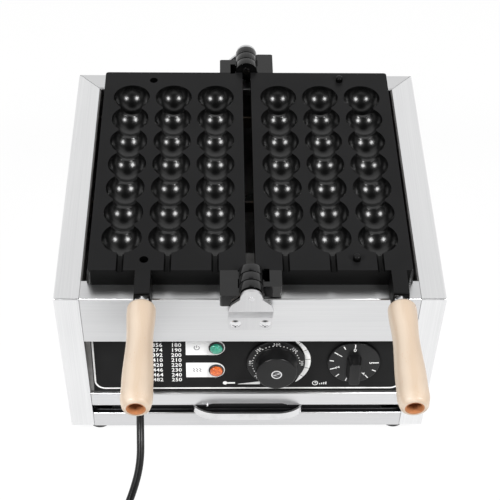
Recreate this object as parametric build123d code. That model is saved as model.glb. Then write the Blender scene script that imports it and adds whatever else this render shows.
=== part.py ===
"""Folding waffle stick maker: two hinged cavity plates over an electric heating chamber.

Millimetres. The origin lies on the surface the feet stand on, under the middle of the body.
+X is to the user's right, +Y to the back, +Z up, so the control panel faces -Y.
"""

from build123d import *
import math
import os

# Housing
body_width = 370.0
body_depth = 328.0
foot_height = 13.0
panel_height = 205.0
sheet = 1.2
bend = 1.5
strip_width = 24.0
seam = 0.4
liner_gap = 0.2

# Front face, from the deck down
apron_height = 63.8
bay_height = 85.1
rail_height = 20.4
slot_height = 13.8
panel_recess = 4.0
panel_lean = 10.0
panel_thickness = 1.5
panel_tail = 8.0
panel_head = 6.0
panel_cheek_gap = 0.4
film_thickness = 0.5
film_side_gap = 3.8
film_edge_gap = 0.6
lip = 8.0
relief_half_width = 44.0
relief_height = 3.4
relief_slope = 9.0

# Cooking plates
plate_side_gap = 8.0
plate_end_gap = 19.5
plate_thickness = 18.5
plate_gap = 7.0
plate_shift = 0.8
plate_draft = 2.0
plate_corner = 3.0
plate_seat = 0.2
skirt_wall = 6.0
rib_crown_gap = 1.0
web = 9.5
cavity_radius = 19.3
cavity_neck_radius = 11.4
cavity_wall = 4.0
cavity_pitch_x = 44.8
cavity_pitch_y = 34.35
cavity_columns = 3
cavity_rows = 7
groove_radius = 3.45
guide_inset = 13.5
guide_from_side = 52.4
guide_pin_radius = 3.75
guide_pin_height = 6.0
guide_pin_shank = 4.0
guide_clearance = 0.5
guide_hole_depth = 8.0
parting_gap = 0.4

# Plate hinge
knuckle_radius = 11.5
knuckle_length = 8.9
knuckle_gap = 1.2
knuckle_inset = 0.6
knuckle_neck = 3.0
hinge_pin_radius = 4.0
pin_clearance = 0.05
lug_reach = 29.0
lug_thickness = 15.0
lug_corner = 2.0
swing_clearance = 0.8
left_lug_front = 31.5
right_lug_front = 20.2
left_lug_rear = 21.9
right_lug_rear = 31.6
notch_from = 12.0
notch_to = 17.5
notch_length = 16.0
notch_lead = 3.5

# Hinge brackets
bracket_sheet = 3.0
bracket_width = 42.0
bracket_bend_drop = 23.0
bracket_drop = 41.8
bracket_ear_radius = 10.3
bracket_ear_gap = 0.8
bracket_ear_foot = 1.0
bracket_neck_height = 17.0
bracket_blank_height = 14.0
bracket_shoulder_height = 9.0
bracket_corner = 5.0
rivet_radius = 2.75
rivet_proud = 0.4
screw_spacing = 28.4
screw_drop = 32.4
screw_head_radius = 5.5
screw_head_height = 2.4
screw_radius = 2.5
screw_length = 12.0
recess_length = 5.6
recess_width = 1.2
recess_depth = 1.4

# Handles
left_handle_inset = 52.0
right_handle_inset = 13.7
tab_width = 14.5
tab_draft = 1.5
tab_height = 16.0
tab_length = 29.0
tab_corner = 2.0
handle_drop = 9.3
stud_radius = 4.0
stud_depth = 14.0
nut_width = 13.0
nut_thickness = 6.8
grip_length = 115.5
grip_head_radius = 13.3
grip_waist_radius = 12.2
grip_belly_radius = 15.6
grip_end_radius = 12.4
grip_waist_at = 38.0
grip_belly_at = 88.0
grip_head_round = 5.0
grip_bore_clearance = 0.2
end_bore_radius = 8.0
end_bore_depth = 32.0

# Controls: places across the panel and up its slope from the bay's lower edge
thermostat_x = 27.6
thermostat_rise = 40.6
timer_x = 106.1
timer_rise = 41.2
lamp_x = -32.5
power_lamp_rise = 59.8
heat_lamp_rise = 29.5
dial_gap = 0.8
skirt_thickness = 2.6
thermostat_skirt_radius = 29.3
thermostat_cap_radius = 20.9
thermostat_cap_height = 15.5
thermostat_cap_taper = 0.7
dial_ring_radius = 5.4
dial_ring_height = 1.2
timer_skirt_radius = 26.4
timer_grip_width = 15.0
timer_grip_above = 9.8
timer_grip_below = 19.5
timer_grip_height = 12.5
timer_grip_taper = 2.2
timer_grip_end_taper = 0.9
shaft_radius = 3.0
shaft_clearance = 0.05
shaft_hole_radius = 5.0
shaft_in_body = 14.0
shaft_in_dial = 9.0
bushing_radius = 4.8
thermostat_body_size = 36.0
thermostat_body_depth = 26.0
timer_body_width = 52.0
timer_body_height = 44.0
timer_body_depth = 34.0
bell_radius = 17.0
bell_height = 9.0
lens_radius = 6.4
lens_proud = 5.0
lens_rim = 2.4
bezel_radius = 7.7
bezel_height = 1.2
lamp_body_radius = 5.0
lamp_body_length = 24.0
lamp_nut_width = 14.0
lamp_nut_thickness = 3.0
label_left = -63.0
label_height = 19.6
label_end_inset = 1.2
label_thickness = 0.4

# Feet
foot_inset = 4.5
foot_from_edge = 17.9
foot_top_radius = 13.5
foot_base_radius = 12.0
foot_recess_radius = 6.0
foot_recess_depth = 6.0
foot_screw_length = 12.0
foot_screw_head_radius = 4.5
foot_screw_head_height = 3.0

# Inside
base_turn_up = 14.0
base_front_gap = 1.6
liner_inset = 2.2
liner_panel_gap = 0.5
liner_flange = 14.0
liner_foot = 52.0
rear_liner_inset = 1.5
control_box_depth = 75.0
control_box_top_drop = 20.8
control_box_floor = 57.0
heater_radius = 4.0
heater_clearance = 5.5
heater_inner_run = 18.0
heater_outer_run = 52.0
heater_back = 128.0
heater_front_turn = -48.0
heater_leg_front = -62.0
heater_leg_drop = 21.0
heater_end = -100.0
heater_turn_radius = 16.4
heater_leg_radius = 9.0
bar_thickness = 2.5
bar_height = 14.0
bar_front_y = -22.0
bar_back_y = 108.0
terminal_bead_radius = 5.5
terminal_bead_length = 7.0
terminal_stud_radius = 1.6
terminal_stud_length = 9.0
block_width = 52.0
block_depth = 20.0
block_height = 17.0
block_poles = 3
block_x = -70.0
block_y = -122.0

# Crumb tray
tray_side_gap = 22.0
tray_back_gap = 32.0
tray_front_recess = 7.0
tray_wall = 1.0
tray_lift = 0.2
tray_top_gap = 2.1
tray_front_gap = 0.2
front_gap = 0.4
runner_clearance = 1.2
runner_lip = 6.0
runner_foot = 10.0
runner_front_gap = 9.0
runner_back_gap = 14.0
runner_lip_gap = 0.6
pull_thickness = 2.0
pull_middle = 27.0
pull_slant = 30.5
pull_foot = 12.0
pull_reach = 10.0
pull_top_gap = 0.5
pull_bottom_gap = 1.4

# Rear louvres
louvre_length = 60.0
louvre_height = 5.0
louvre_pitch = 14.0
louvre_rows = 6
louvre_x = 75.0
louvre_low = 60.0
louvre_hood = 4.0
rear_screw_inset = 10.0
rear_screw_end_gap = 25.0
rear_screw_radius = 2.0
rear_screw_head_radius = 3.8
rear_screw_head_height = 2.2
rear_screw_length = 8.0
rear_screw_rows = 3

# Power cord, its gland, coil and plug
cord_radius = 3.75
cord_x = -107.5
cord_straight = 23.0
gland_rise = 25.0
gland_flange_radius = 10.0
gland_flange_thickness = 3.0
gland_nut_width = 20.0
gland_nut_thickness = 4.0
gland_barrel = 8.0
relief_radius_back = 7.0
relief_radius_front = 5.2
relief_length = 20.5
coil_mean_radius = 44.0
coil_turns = 4
coil_lift = 0.8
coil_leave_deg = 300.0
tie_width_deg = 16.0
tie_at_deg = 75.0
tie_thickness = 0.7
tail_length = 46.0
plug_radius = 17.5
plug_length = 30.0
plug_neck_radius = 6.0
plug_neck_length = 26.0
plug_flat = 15.0
plug_rim = 3.0
plug_pin_radius = 2.4
plug_pin_length = 19.0
plug_pin_spacing = 19.0

# Worked out from the sizes above
half_width = body_width / 2
front_y = -body_depth / 2
back_y = body_depth / 2
floor_z = foot_height
deck_z = floor_z + panel_height
inner_x = half_width - strip_width
foot_x = inner_x - foot_inset
opening_front = front_y + strip_width
opening_back = back_y - strip_width
apron_z = deck_z - apron_height
bay_z = apron_z - bay_height
rail_z = bay_z - rail_height
tray_front_z = rail_z - slot_height
tray_half_width = inner_x - tray_side_gap
tray_back = back_y - tray_back_gap
panel_y = front_y + panel_recess
film_y = panel_y - film_thickness
lean_sine = math.sin(math.radians(panel_lean))
lean_cosine = math.cos(math.radians(panel_lean))
panel_slope = (apron_z - bay_z) / lean_cosine
panel_top_y = panel_y + panel_slope * lean_sine
panel_half = inner_x + panel_cheek_gap + sheet
film_half_width = inner_x - film_side_gap
plate_z = deck_z + plate_seat
plate_top = plate_z + plate_thickness
axis_z = plate_top + parting_gap / 2
plate_side = inner_x - plate_side_gap
plate_width = plate_side - plate_gap / 2
plate_length = body_depth - 2 * plate_end_gap
plate_front = plate_shift - plate_length / 2
plate_back = plate_shift + plate_length / 2
plate_mid_x = plate_gap / 2 + plate_width / 2
guide_from_hinge = plate_side - guide_from_side
left_handle_x = left_handle_inset - plate_side
right_handle_x = plate_side - right_handle_inset
lug_inner = knuckle_radius + swing_clearance
handle_z = plate_top - handle_drop
rib_radius = cavity_radius + cavity_wall
liner_x = inner_x - liner_inset
heater_z = plate_top - rib_radius - heater_clearance - heater_radius
thermostat_z = bay_z + thermostat_rise
timer_z = bay_z + timer_rise
power_lamp_z = bay_z + power_lamp_rise
heat_lamp_z = bay_z + heat_lamp_rise
gland_z = bay_z + gland_rise
control_box_back = panel_y + control_box_depth
control_box_top = deck_z - control_box_top_drop


def block(x0, x1, y0, y1, z0, z1):
    """A box from its low corner to its high corner."""
    middle = Pos((x0 + x1) / 2, (y0 + y1) / 2, (z0 + z1) / 2)
    return middle * Box(abs(x1 - x0), abs(y1 - y0), abs(z1 - z0))


def rod_y(radius, y0, y1, x, z):
    """A round bar along Y."""
    return Pos(x, (y0 + y1) / 2, z) * Rot(90, 0, 0) * Cylinder(radius, abs(y1 - y0))


def rod_z(radius, z0, z1, x, y):
    """A round bar along Z."""
    return Pos(x, y, (z0 + z1) / 2) * Cylinder(radius, abs(z1 - z0))


def hex_y(width, y0, y1, x, z):
    """A hexagon prism along Y with one corner on top."""
    low, high = sorted((y0, y1))
    plane = Plane(origin=(x, low, z), x_dir=(1, 0, 0), z_dir=(0, 1, 0))
    face = plane * RegularPolygon(width / 2, 6, major_radius=False, rotation=90)
    return extrude(face, amount=high - low)


def folded(points, x0, x1, radius=bend, thickness=sheet, side=Side.RIGHT):
    """Sheet folded along X: the side view's line gets its thickness, then its width."""
    line = FilletPolyline(*points, radius=radius)
    outline = offset(line, amount=thickness, side=side, closed=True)
    return extrude(Plane.YZ.offset(x0) * make_face(outline), amount=x1 - x0)


def both_sides(piece):
    """The piece and its mirror image in the body's middle plane."""
    return [piece, mirror(piece, Plane.YZ)]


def spread(count, pitch):
    """Places of evenly spaced copies about zero."""
    return [(i - (count - 1) / 2) * pitch for i in range(count)]


def on_panel(piece):
    """A piece set out against an upright panel, leaned back about the bay's lower edge."""
    hinge_line = Pos(0, panel_y, bay_z)
    lean = hinge_line * Rot(-panel_lean, 0, 0) * hinge_line.inverse()
    if isinstance(piece, list):
        return [lean * part for part in piece]
    return lean * piece


def panel_point(x, out, rise):
    """The point so far out from the panel's face and so far up its slope from the bay's lower edge."""
    y = panel_y - out * lean_cosine + rise * lean_sine
    return (x, y, bay_z + out * lean_sine + rise * lean_cosine)


def cross_recess(y, x, z, out):
    """The crossed slots of a screw head that faces along Y; out is -1 to the front, 1 to the back."""
    depth = (y, y - out * recess_depth)
    wide, long = recess_width / 2, recess_length / 2
    upright = block(x - wide, x + wide, *depth, z - long, z + long)
    level = block(x - long, x + long, *depth, z - wide, z + wide)
    return upright + level


def screw_y(x, y, z, out, head_radius, head_height, shank_radius, length):
    """A domed screw that is driven along Y from the face at y; out is -1 to the front, 1 to the back."""
    ball_radius = (head_radius**2 + head_height**2) / (2 * head_height)
    ball = Pos(x, y + out * (head_height - ball_radius), z) * Sphere(ball_radius)
    head = ball & block(x - 20, x + 20, y, y + out * 20, z - 20, z + 20)
    shank = rod_y(shank_radius, y, y - out * length, x, z)
    return head + shank - cross_recess(y + out * head_height, x, z, out)


# Housing


def side_panel_right():
    """Shallow pan stood on edge: the wall, with a strip turned in along all four edges."""
    skin_back = back_y - sheet
    outer = block(inner_x, half_width, front_y, skin_back, floor_z, deck_z)
    wall_edges = outer.faces().sort_by(Axis.X)[-1].edges()
    outer = fillet(wall_edges + outer.edges().filter_by(Axis.X), bend)
    hollow = block(inner_x - sheet, half_width - sheet, front_y + sheet, skin_back - sheet,
                   floor_z + sheet, deck_z - sheet)
    mitre = Polyline((inner_x - 1, opening_back), (inner_x, opening_back), (half_width + 1, back_y + 1),
                     (inner_x - 1, back_y + 1), close=True)
    corner = extrude(Plane.XY.offset(deck_z - sheet - 0.5) * make_face(mitre), amount=strip_width)
    panel = outer - hollow - corner
    for x, z in rear_screw_places():
        if x > 0:
            panel -= rod_y(rear_screw_radius, skin_back - 2 * sheet, back_y, x, z)
    return panel


def rear_panel():
    """Back skin with a deck strip whose ends are mitred, pressed louvres and screw holes."""
    edge_x = half_width - seam
    strip_edge = opening_back + sheet
    skin = back_y - sheet
    top = deck_z - sheet
    line = [(skin, floor_z + sheet), (skin, top), (strip_edge, top), (strip_edge, top - lip)]
    panel = folded(line, -edge_x, edge_x, radius=0.4)
    mitre_x = inner_x - seam * math.sqrt(2)
    mitre = Polyline((mitre_x, opening_back - 5), (mitre_x, opening_back), (mitre_x + strip_width, back_y),
                     (half_width, back_y), (half_width, opening_back - 5), close=True)
    corner = extrude(Plane.XY.offset(deck_z - sheet) * make_face(mitre), amount=2 * sheet)
    corner += lip_end(opening_back - 1, opening_back + 3)
    panel -= both_sides(corner)
    for x in (-louvre_x, louvre_x):
        for row in range(louvre_rows):
            z = louvre_low + row * louvre_pitch
            plane = Plane(origin=(x, back_y - 3, z), x_dir=(1, 0, 0), z_dir=(0, 1, 0))
            slot = plane * SlotOverall(louvre_length - 4, louvre_height)
            panel -= extrude(slot, amount=6)
            panel += louvre_cover(x, z)
    for x, z in rear_screw_places():
        panel -= rod_y(rear_screw_radius, back_y - 3, back_y + 1, x, z)
    for x in spread(2, screw_spacing):
        panel -= rod_y(screw_radius, back_y - 3, back_y + 1, x, deck_z - screw_drop)
    return panel


def lip_end(y0, y1):
    """What is cut from a deck strip's lip so that it clears the right chamber liner."""
    return block(liner_x - seam, half_width, y0, y1, deck_z - 2 * lip, deck_z - sheet)


def louvre_cover(x, z):
    """The pressed hood over one louvre slot, open downwards."""
    base_z = z + louvre_height / 2
    section = Polyline((back_y, base_z + 3), (back_y + louvre_hood, base_z - 2.5),
                       (back_y + louvre_hood - sheet, base_z - 2.5), (back_y - 0.6, base_z + 1), close=True)
    face = Plane.YZ.offset(x - louvre_length / 2) * make_face(section)
    return extrude(face, amount=louvre_length)


def rear_screw_places():
    """Screws along both upright edges of the rear panel."""
    low = floor_z + rear_screw_end_gap
    step = (deck_z - rear_screw_end_gap - low) / (rear_screw_rows - 1)
    edge = half_width - rear_screw_inset
    return [(x, low + i * step) for x in (-edge, edge) for i in range(rear_screw_rows)]


def front_apron():
    """Front deck strip folded down into the apron, with lips at both free edges."""
    half = inner_x - seam
    line = [(opening_front, deck_z - lip), (opening_front, deck_z), (front_y, deck_z), (front_y, apron_z),
            (panel_top_y, apron_z)]
    apron = folded(line, -half, half, side=Side.LEFT)
    apron -= both_sides(lip_end(opening_front - 3, opening_front + 1))
    for x in spread(2, screw_spacing):
        apron -= rod_y(screw_radius, front_y - 1, front_y + 3, x, deck_z - screw_drop)
    return apron


def front_rail():
    """Rail under the control bay; its lower edge is cut back above the tray's pull."""
    half = inner_x - seam
    lip_back = panel_y - sheet * lean_sine / lean_cosine
    line = [(lip_back, bay_z), (front_y, bay_z), (front_y, rail_z), (front_y + lip, rail_z)]
    rail = folded(line, -half, half, side=Side.LEFT)
    wide, narrow = relief_half_width, relief_half_width - relief_slope
    relief = Polyline((-wide, rail_z - 1), (-wide, rail_z), (-narrow, rail_z + relief_height),
                      (narrow, rail_z + relief_height), (wide, rail_z), (wide, rail_z - 1), close=True)
    cut = extrude(Plane(origin=(0, front_y - 1, 0), x_dir=(1, 0, 0), z_dir=(0, -1, 0)) * make_face(relief),
                  amount=-lip - 2)
    return rail - cut


def base_plate():
    """Floor of the housing with its side and rear edges turned up."""
    half = inner_x - liner_gap
    back = back_y - sheet - liner_gap
    top = floor_z + base_turn_up
    outer = block(-half, half, front_y + base_front_gap, back, floor_z, top)
    hollow = block(-half + sheet, half - sheet, front_y, back - sheet, floor_z + sheet, top + 1)
    plate = outer - hollow
    for x, y in foot_places():
        plate -= rod_z(screw_radius, floor_z - 1, floor_z + 3, x, y)
    return plate


def foot_places():
    """Middles of the four feet."""
    return [(x, y) for x in (-foot_x, foot_x) for y in (front_y + foot_from_edge, back_y - foot_from_edge)]


def foot(x, y):
    """Tapered rubber foot with a recess for its screw."""
    section = Polyline((foot_top_radius, foot_height), (foot_top_radius, foot_height - 3),
                       (foot_base_radius, 1.0), (foot_base_radius - 1.0, 0), (foot_recess_radius, 0),
                       (foot_recess_radius, foot_recess_depth), (screw_radius, foot_recess_depth),
                       (screw_radius, foot_height), close=True)
    return Pos(x, y, 0) * revolve(Plane.XZ * make_face(section), Axis.Z)


def foot_screw(x, y):
    """Pan-head screw that holds a foot to the base."""
    head = rod_z(foot_screw_head_radius, foot_recess_depth - foot_screw_head_height, foot_recess_depth, x, y)
    top = foot_recess_depth + foot_screw_length
    shank = rod_z(screw_radius, foot_recess_depth, top, x, y)
    slot = block(x - 3, x + 3, y - 0.5, y + 0.5, 0, foot_recess_depth - foot_screw_head_height + 1)
    return head + shank - slot


# Control panel


def panel_holes(y0, y1):
    """Everything that passes through the control panel."""
    lamps = [rod_y(lamp_body_radius, y0, y1, lamp_x, z) for z in (power_lamp_z, heat_lamp_z)]
    shafts = [rod_y(shaft_hole_radius, y0, y1, thermostat_x, thermostat_z),
              rod_y(shaft_hole_radius, y0, y1, timer_x, timer_z)]
    gland = rod_y(relief_radius_back, y0, y1, cord_x, gland_z)
    return lamps + shafts + [gland]


def control_panel():
    """Leaning plate behind the bay; its cheeks close the wedge between it and the side strips."""
    back = panel_y + panel_thickness
    low, high = bay_z - panel_tail, bay_z + panel_slope + panel_head
    plate = block(-panel_half, panel_half, panel_y, back, low, high)
    panel = on_panel(plate - panel_holes(panel_y - 1, back + 1))
    strip_back = front_y + sheet
    rises = (1 - panel_tail, panel_slope + panel_head - 1)
    low, high = [panel_point(0, -panel_thickness / 2, rise) for rise in rises]
    wedge = Polyline((strip_back, low[2]), (strip_back, high[2]), high[1:], low[1:], close=True)
    cheek = extrude(Plane.YZ.offset(panel_half - sheet) * make_face(wedge), amount=sheet)
    return panel + both_sides(cheek)


def panel_film():
    """Black printed film laid on the control panel."""
    low, high = bay_z + film_edge_gap, bay_z + panel_slope - 2 * film_edge_gap
    film = block(-film_half_width, film_half_width, film_y, panel_y, low, high)
    return film - panel_holes(film_y - 1, panel_y + 1)


def lamp_label(z):
    """Pale label with a round end about its lamp."""
    radius = label_height / 2
    end = lamp_x - label_end_inset
    plane = Plane(origin=(0, film_y, z), x_dir=(1, 0, 0), z_dir=(0, -1, 0))
    straight = Pos((label_left + end) / 2, 0) * Rectangle(end - label_left, label_height)
    face = straight + Pos(end, 0) * Circle(radius)
    label = extrude(plane * face, amount=label_thickness)
    return label - rod_y(lamp_body_radius, film_y - 1, film_y + 1, lamp_x, z)


def lamp_lens(z):
    """Domed lens with its collar."""
    rise = lens_proud - lens_rim
    ball = (lens_radius**2 + rise**2) / (2 * rise)
    half_turn = math.asin(lens_radius / ball) / 2
    crown = (lens_proud - ball + ball * math.cos(half_turn), ball * math.sin(half_turn))
    dome = ThreePointArc((lens_rim, lens_radius), crown, (lens_proud, 0))
    line = Polyline((lens_proud, 0), (0, 0), (0, bezel_radius), (bezel_height, bezel_radius),
                    (bezel_height, lens_radius), (lens_rim, lens_radius))
    face = make_face(Wire([dome.edge(), *line.edges()]))
    start = (lamp_x, film_y - label_thickness, z)
    plane = Plane(origin=start, x_dir=(0, -1, 0), z_dir=(1, 0, 0))
    return revolve(plane * face, Axis(start, (0, -1, 0)))


def lamp_body(z):
    """Lamp barrel behind the panel, with its nut and two tags."""
    face = film_y - label_thickness
    back = panel_y + panel_thickness
    barrel = rod_y(lamp_body_radius, face, back + lamp_body_length, lamp_x, z)
    nut = hex_y(lamp_nut_width, back, back + lamp_nut_thickness, lamp_x, z)
    end = back + lamp_body_length
    for dx in (-2.5, 2.5):
        x = lamp_x + dx
        barrel += block(x - 0.4, x + 0.4, end - 1, end + 7, z - 2.4, z + 2.4)
    return barrel + nut


def thermostat_body():
    """Thermostat switch with its threaded bushing, screwed flat behind the panel."""
    back = panel_y + panel_thickness
    half = thermostat_body_size / 2
    box = block(thermostat_x - half, thermostat_x + half, back, back + thermostat_body_depth,
                thermostat_z - half, thermostat_z + half)
    box = chamfer(box.edges().filter_by(Axis.Y), 4)
    bushing = rod_y(bushing_radius, film_y - 0.4, back, thermostat_x, thermostat_z)
    end = back + thermostat_body_depth
    for dx in (-10, 10):
        x = thermostat_x + dx
        box += block(x - 3, x + 3, end, end + 8, thermostat_z - 0.4, thermostat_z + 0.4)
    bore_radius = shaft_radius + shaft_clearance
    bore = rod_y(bore_radius, film_y - 2, back + shaft_in_body, thermostat_x, thermostat_z)
    return box + bushing - bore


def timer_body():
    """Clockwork timer with its bell, behind the panel."""
    back = panel_y + panel_thickness
    end = back + timer_body_depth
    half_w, half_h = timer_body_width / 2, timer_body_height / 2
    box = block(timer_x - half_w, timer_x + half_w, back, end, timer_z - half_h, timer_z + half_h)
    box = fillet(box.edges().filter_by(Axis.Y), 4)
    bell = rod_y(bell_radius, end, end + bell_height, timer_x, timer_z)
    bell = fillet(bell.faces().sort_by(Axis.Y)[-1].edges(), 5)
    bushing = rod_y(bushing_radius, film_y - 0.4, back, timer_x, timer_z)
    bore = rod_y(shaft_radius + shaft_clearance, film_y - 2, back + shaft_in_body, timer_x, timer_z)
    return box + bell + bushing - bore


def d_shaft(x, z):
    """Control shaft with a flat for its dial; the same flat is in the dial's socket."""
    dial_back = film_y - dial_gap
    back = panel_y + panel_thickness + shaft_in_body - 0.5
    shaft = rod_y(shaft_radius, dial_back - shaft_in_dial, back, x, z)
    flat = block(x - 5, x + 5, dial_back - shaft_in_dial - 1, dial_back, z + shaft_radius - 1.2, z + 5)
    return shaft - flat


def thermostat_dial():
    """Skirt with a beveled rim under a tapered cap that has finger flutes."""
    y = film_y - dial_gap
    plane = Plane(origin=(thermostat_x, y, thermostat_z), x_dir=(1, 0, 0), z_dir=(0, -1, 0))
    skirt = extrude(plane * Circle(thermostat_skirt_radius), amount=skirt_thickness)
    skirt = chamfer(skirt.faces().sort_by(Axis.Y)[0].edges(), 1.2)
    low = plane.offset(skirt_thickness) * Circle(thermostat_cap_radius)
    front = Circle(thermostat_cap_radius - thermostat_cap_taper)
    high = plane.offset(skirt_thickness + thermostat_cap_height) * front
    cap = loft([low, high])
    cap = fillet(cap.faces().sort_by(Axis.Y)[0].edges(), 1.6)
    top = y - skirt_thickness - thermostat_cap_height
    seat = rod_y(dial_ring_radius, top, top + dial_ring_height, thermostat_x, thermostat_z)
    return skirt + cap - seat - d_shaft(thermostat_x, thermostat_z)


def dial_screw():
    """Bright ring and slotted screw in the middle of the thermostat's cap."""
    top = film_y - dial_gap - skirt_thickness - thermostat_cap_height
    ring = rod_y(dial_ring_radius, top - 0.6, top + dial_ring_height, thermostat_x, thermostat_z)
    well = rod_y(dial_ring_radius - 1.3, top - 1, top + 0.4, thermostat_x, thermostat_z)
    head = rod_y(dial_ring_radius - 2.1, top - 0.4, top + 0.6, thermostat_x, thermostat_z)
    slot = Pos(thermostat_x, top - 0.4, thermostat_z) * Rot(0, 28, 0) * Box(12, 1.2, 0.9)
    return ring - well + (head - slot)


def timer_dial():
    """Round skirt with a tall bar grip that reaches further to one side of the shaft."""
    y = film_y - dial_gap
    plane = Plane(origin=(timer_x, y, timer_z), x_dir=(1, 0, 0), z_dir=(0, -1, 0))
    skirt = extrude(plane * Circle(timer_skirt_radius), amount=skirt_thickness)
    skirt = chamfer(skirt.faces().sort_by(Axis.Y)[0].edges(), 1.2)
    length = timer_grip_above + timer_grip_below
    middle = Pos(0, (timer_grip_above - timer_grip_below) / 2)
    low = plane.offset(skirt_thickness) * middle * RectangleRounded(timer_grip_width, length, 4)
    front = RectangleRounded(timer_grip_width - 2 * timer_grip_taper, length - 2 * timer_grip_end_taper, 3)
    high = plane.offset(skirt_thickness + timer_grip_height) * middle * front
    grip = loft([low, high])
    return skirt + grip - d_shaft(timer_x, timer_z)


def terminal_block():
    """Porcelain block with its poles' screws, on the control box floor."""
    base = control_box_floor + sheet
    half_w, half_d = block_width / 2, block_depth / 2
    top = base + block_height
    body = block(block_x - half_w, block_x + half_w, block_y - half_d, block_y + half_d, base, top)
    body = chamfer(body.faces().sort_by(Axis.Z)[-1].edges(), 2)
    for dx in spread(block_poles, block_width / block_poles):
        for dy in (-5, 5):
            body -= rod_z(2.6, base + 6, top + 1, block_x + dx, block_y + dy)
            body += rod_z(2.3, base + 6, top - 4, block_x + dx, block_y + dy)
    return body


# Heating chamber


def liner_side():
    """Chamber wall that hangs by its flange under the right side panel's strip."""
    line = [(liner_x + liner_flange, deck_z - sheet), (liner_x, deck_z - sheet), (liner_x, liner_foot)]
    path = FilletPolyline(*line, radius=bend)
    outline = offset(path, amount=sheet, side=Side.LEFT, closed=True)
    front = panel_y + panel_thickness + liner_panel_gap
    back = opening_back + rear_liner_inset - liner_gap
    plane = Plane(origin=(0, front, 0), x_dir=(1, 0, 0), z_dir=(0, -1, 0))
    liner = extrude(plane * make_face(outline), amount=front - back)
    top = bay_z + panel_slope + panel_head + liner_panel_gap
    ahead = front_y - strip_width
    panel_room = block(liner_x - liner_flange, liner_x + liner_flange, ahead, front, floor_z, top)
    return liner - on_panel(panel_room)


def liner_rear():
    """Rear chamber wall that hangs under the rear deck strip."""
    y = opening_back + rear_liner_inset
    line = [(y + liner_flange, deck_z - sheet), (y, deck_z - sheet), (y, liner_foot)]
    return folded(line, -liner_x, liner_x, side=Side.LEFT)


def control_box():
    """Heat shield round the controls: roof, bulkhead and floor in one folded sheet."""
    front = panel_y + panel_thickness + liner_panel_gap
    top, floor = control_box_top, control_box_floor
    line = [(front, top), (control_box_back, top), (control_box_back, floor), (front, floor)]
    half = liner_x - liner_gap
    box = folded(line, -half, half, side=Side.RIGHT)
    for side in (-1, 1):
        for x in (heater_runs(side)[0], heater_runs(side)[-1]):
            z = heater_leg_z()
            box -= rod_y(terminal_bead_radius, control_box_back - 3, control_box_back + 3, x, z)
    return box


def heater_runs(side):
    """Places across the body of one heater's four long runs."""
    middle = side * plate_mid_x
    return [middle + dx for dx in (-heater_outer_run, -heater_inner_run, heater_inner_run, heater_outer_run)]


def heater_leg_z():
    """Height of the heaters' ends, below their long runs."""
    return heater_z - heater_leg_drop


def heater(side):
    """One tube bent into four runs, its two legs stepped down through the bulkhead."""
    a, b, c, d = heater_runs(side)
    low = heater_leg_z()
    route = [(a, heater_end, low), (a, heater_leg_front, low), (a, heater_leg_front + 10, heater_z),
             (a, heater_back, heater_z), (b, heater_back, heater_z), (b, heater_front_turn, heater_z),
             (c, heater_front_turn, heater_z), (c, heater_back, heater_z), (d, heater_back, heater_z),
             (d, heater_leg_front + 10, heater_z), (d, heater_leg_front, low), (d, heater_end, low)]
    legs = [heater_leg_radius] * 2
    turns = [heater_turn_radius] * 6
    line = FilletPolyline(*route, radius=legs + turns + legs)
    return sweep((line ^ 0) * Circle(heater_radius), path=line)


def heater_bead(x):
    """Ceramic bead and terminal stud on one heater end, held in the bulkhead's hole."""
    z = heater_leg_z()
    bead = rod_y(terminal_bead_radius, heater_end, heater_end - terminal_bead_length, x, z)
    stud = rod_y(terminal_stud_radius, heater_end - terminal_bead_length,
                 heater_end - terminal_bead_length - terminal_stud_length, x, z)
    return bead + stud


def heater_bar(y):
    """Notched bar across the chamber that carries both heaters."""
    half = liner_x - liner_gap
    top = heater_z + 1.0
    bar = block(-half, half, y - bar_thickness / 2, y + bar_thickness / 2, top - bar_height, top)
    for side in (-1, 1):
        for x in heater_runs(side):
            bar -= rod_y(heater_radius, y - bar_thickness, y + bar_thickness, x, heater_z)
            bar -= block(x - heater_radius, x + heater_radius, y - bar_thickness, y + bar_thickness,
                         heater_z, top + 1)
    return bar


# Cooking plates and their hinge


def knuckle_spans():
    """Knuckles from the ends inwards: front end, back end, owning plate (-1 left, 1 right)."""
    front_end = plate_front - left_lug_front + knuckle_inset
    rear_end = plate_back + right_lug_rear - knuckle_inset
    step = knuckle_length + knuckle_gap
    front = [(front_end + i * step, front_end + i * step + knuckle_length, side)
             for i, side in enumerate((-1, 1, -1))]
    rear = [(rear_end - i * step - knuckle_length, rear_end - i * step, side)
            for i, side in enumerate((1, -1, 1))]
    return front + rear


def lug(side, y0, y1):
    """Flat lug cast on the plate's end, clear of the other plate's knuckles."""
    low, high = sorted((side * lug_inner, side * lug_reach))
    body = block(low, high, y0, y1, plate_top - lug_thickness, plate_top)
    outer = body.edges().filter_by(Axis.Z).sort_by(Axis.X)
    outer = outer[:2] if side < 0 else outer[2:]
    return fillet(outer, lug_corner)


def knuckle(side, y0, y1):
    """One bored knuckle and its neck to the lug."""
    low, high = sorted((0, side * lug_inner))
    neck = block(low, high, y0, y1, plate_top - lug_thickness, plate_top)
    neck = neck & rod_y(lug_inner + knuckle_neck, y0, y1, 0, axis_z)
    bore = rod_y(hinge_pin_radius + pin_clearance, y0 - 1, y1 + 1, 0, axis_z)
    return rod_y(knuckle_radius, y0, y1, 0, axis_z) + neck - bore


def notch(side):
    """The open notch beside the inner knuckle of one plate's lug."""
    low, high = sorted((side * notch_from, side * notch_to))
    spans = knuckle_spans()
    if side > 0:
        start = spans[2][0] - notch_lead
    else:
        start = spans[5][1] + notch_lead - notch_length
    return block(low, high, start, start + notch_length, deck_z, plate_top + 1)


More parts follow.
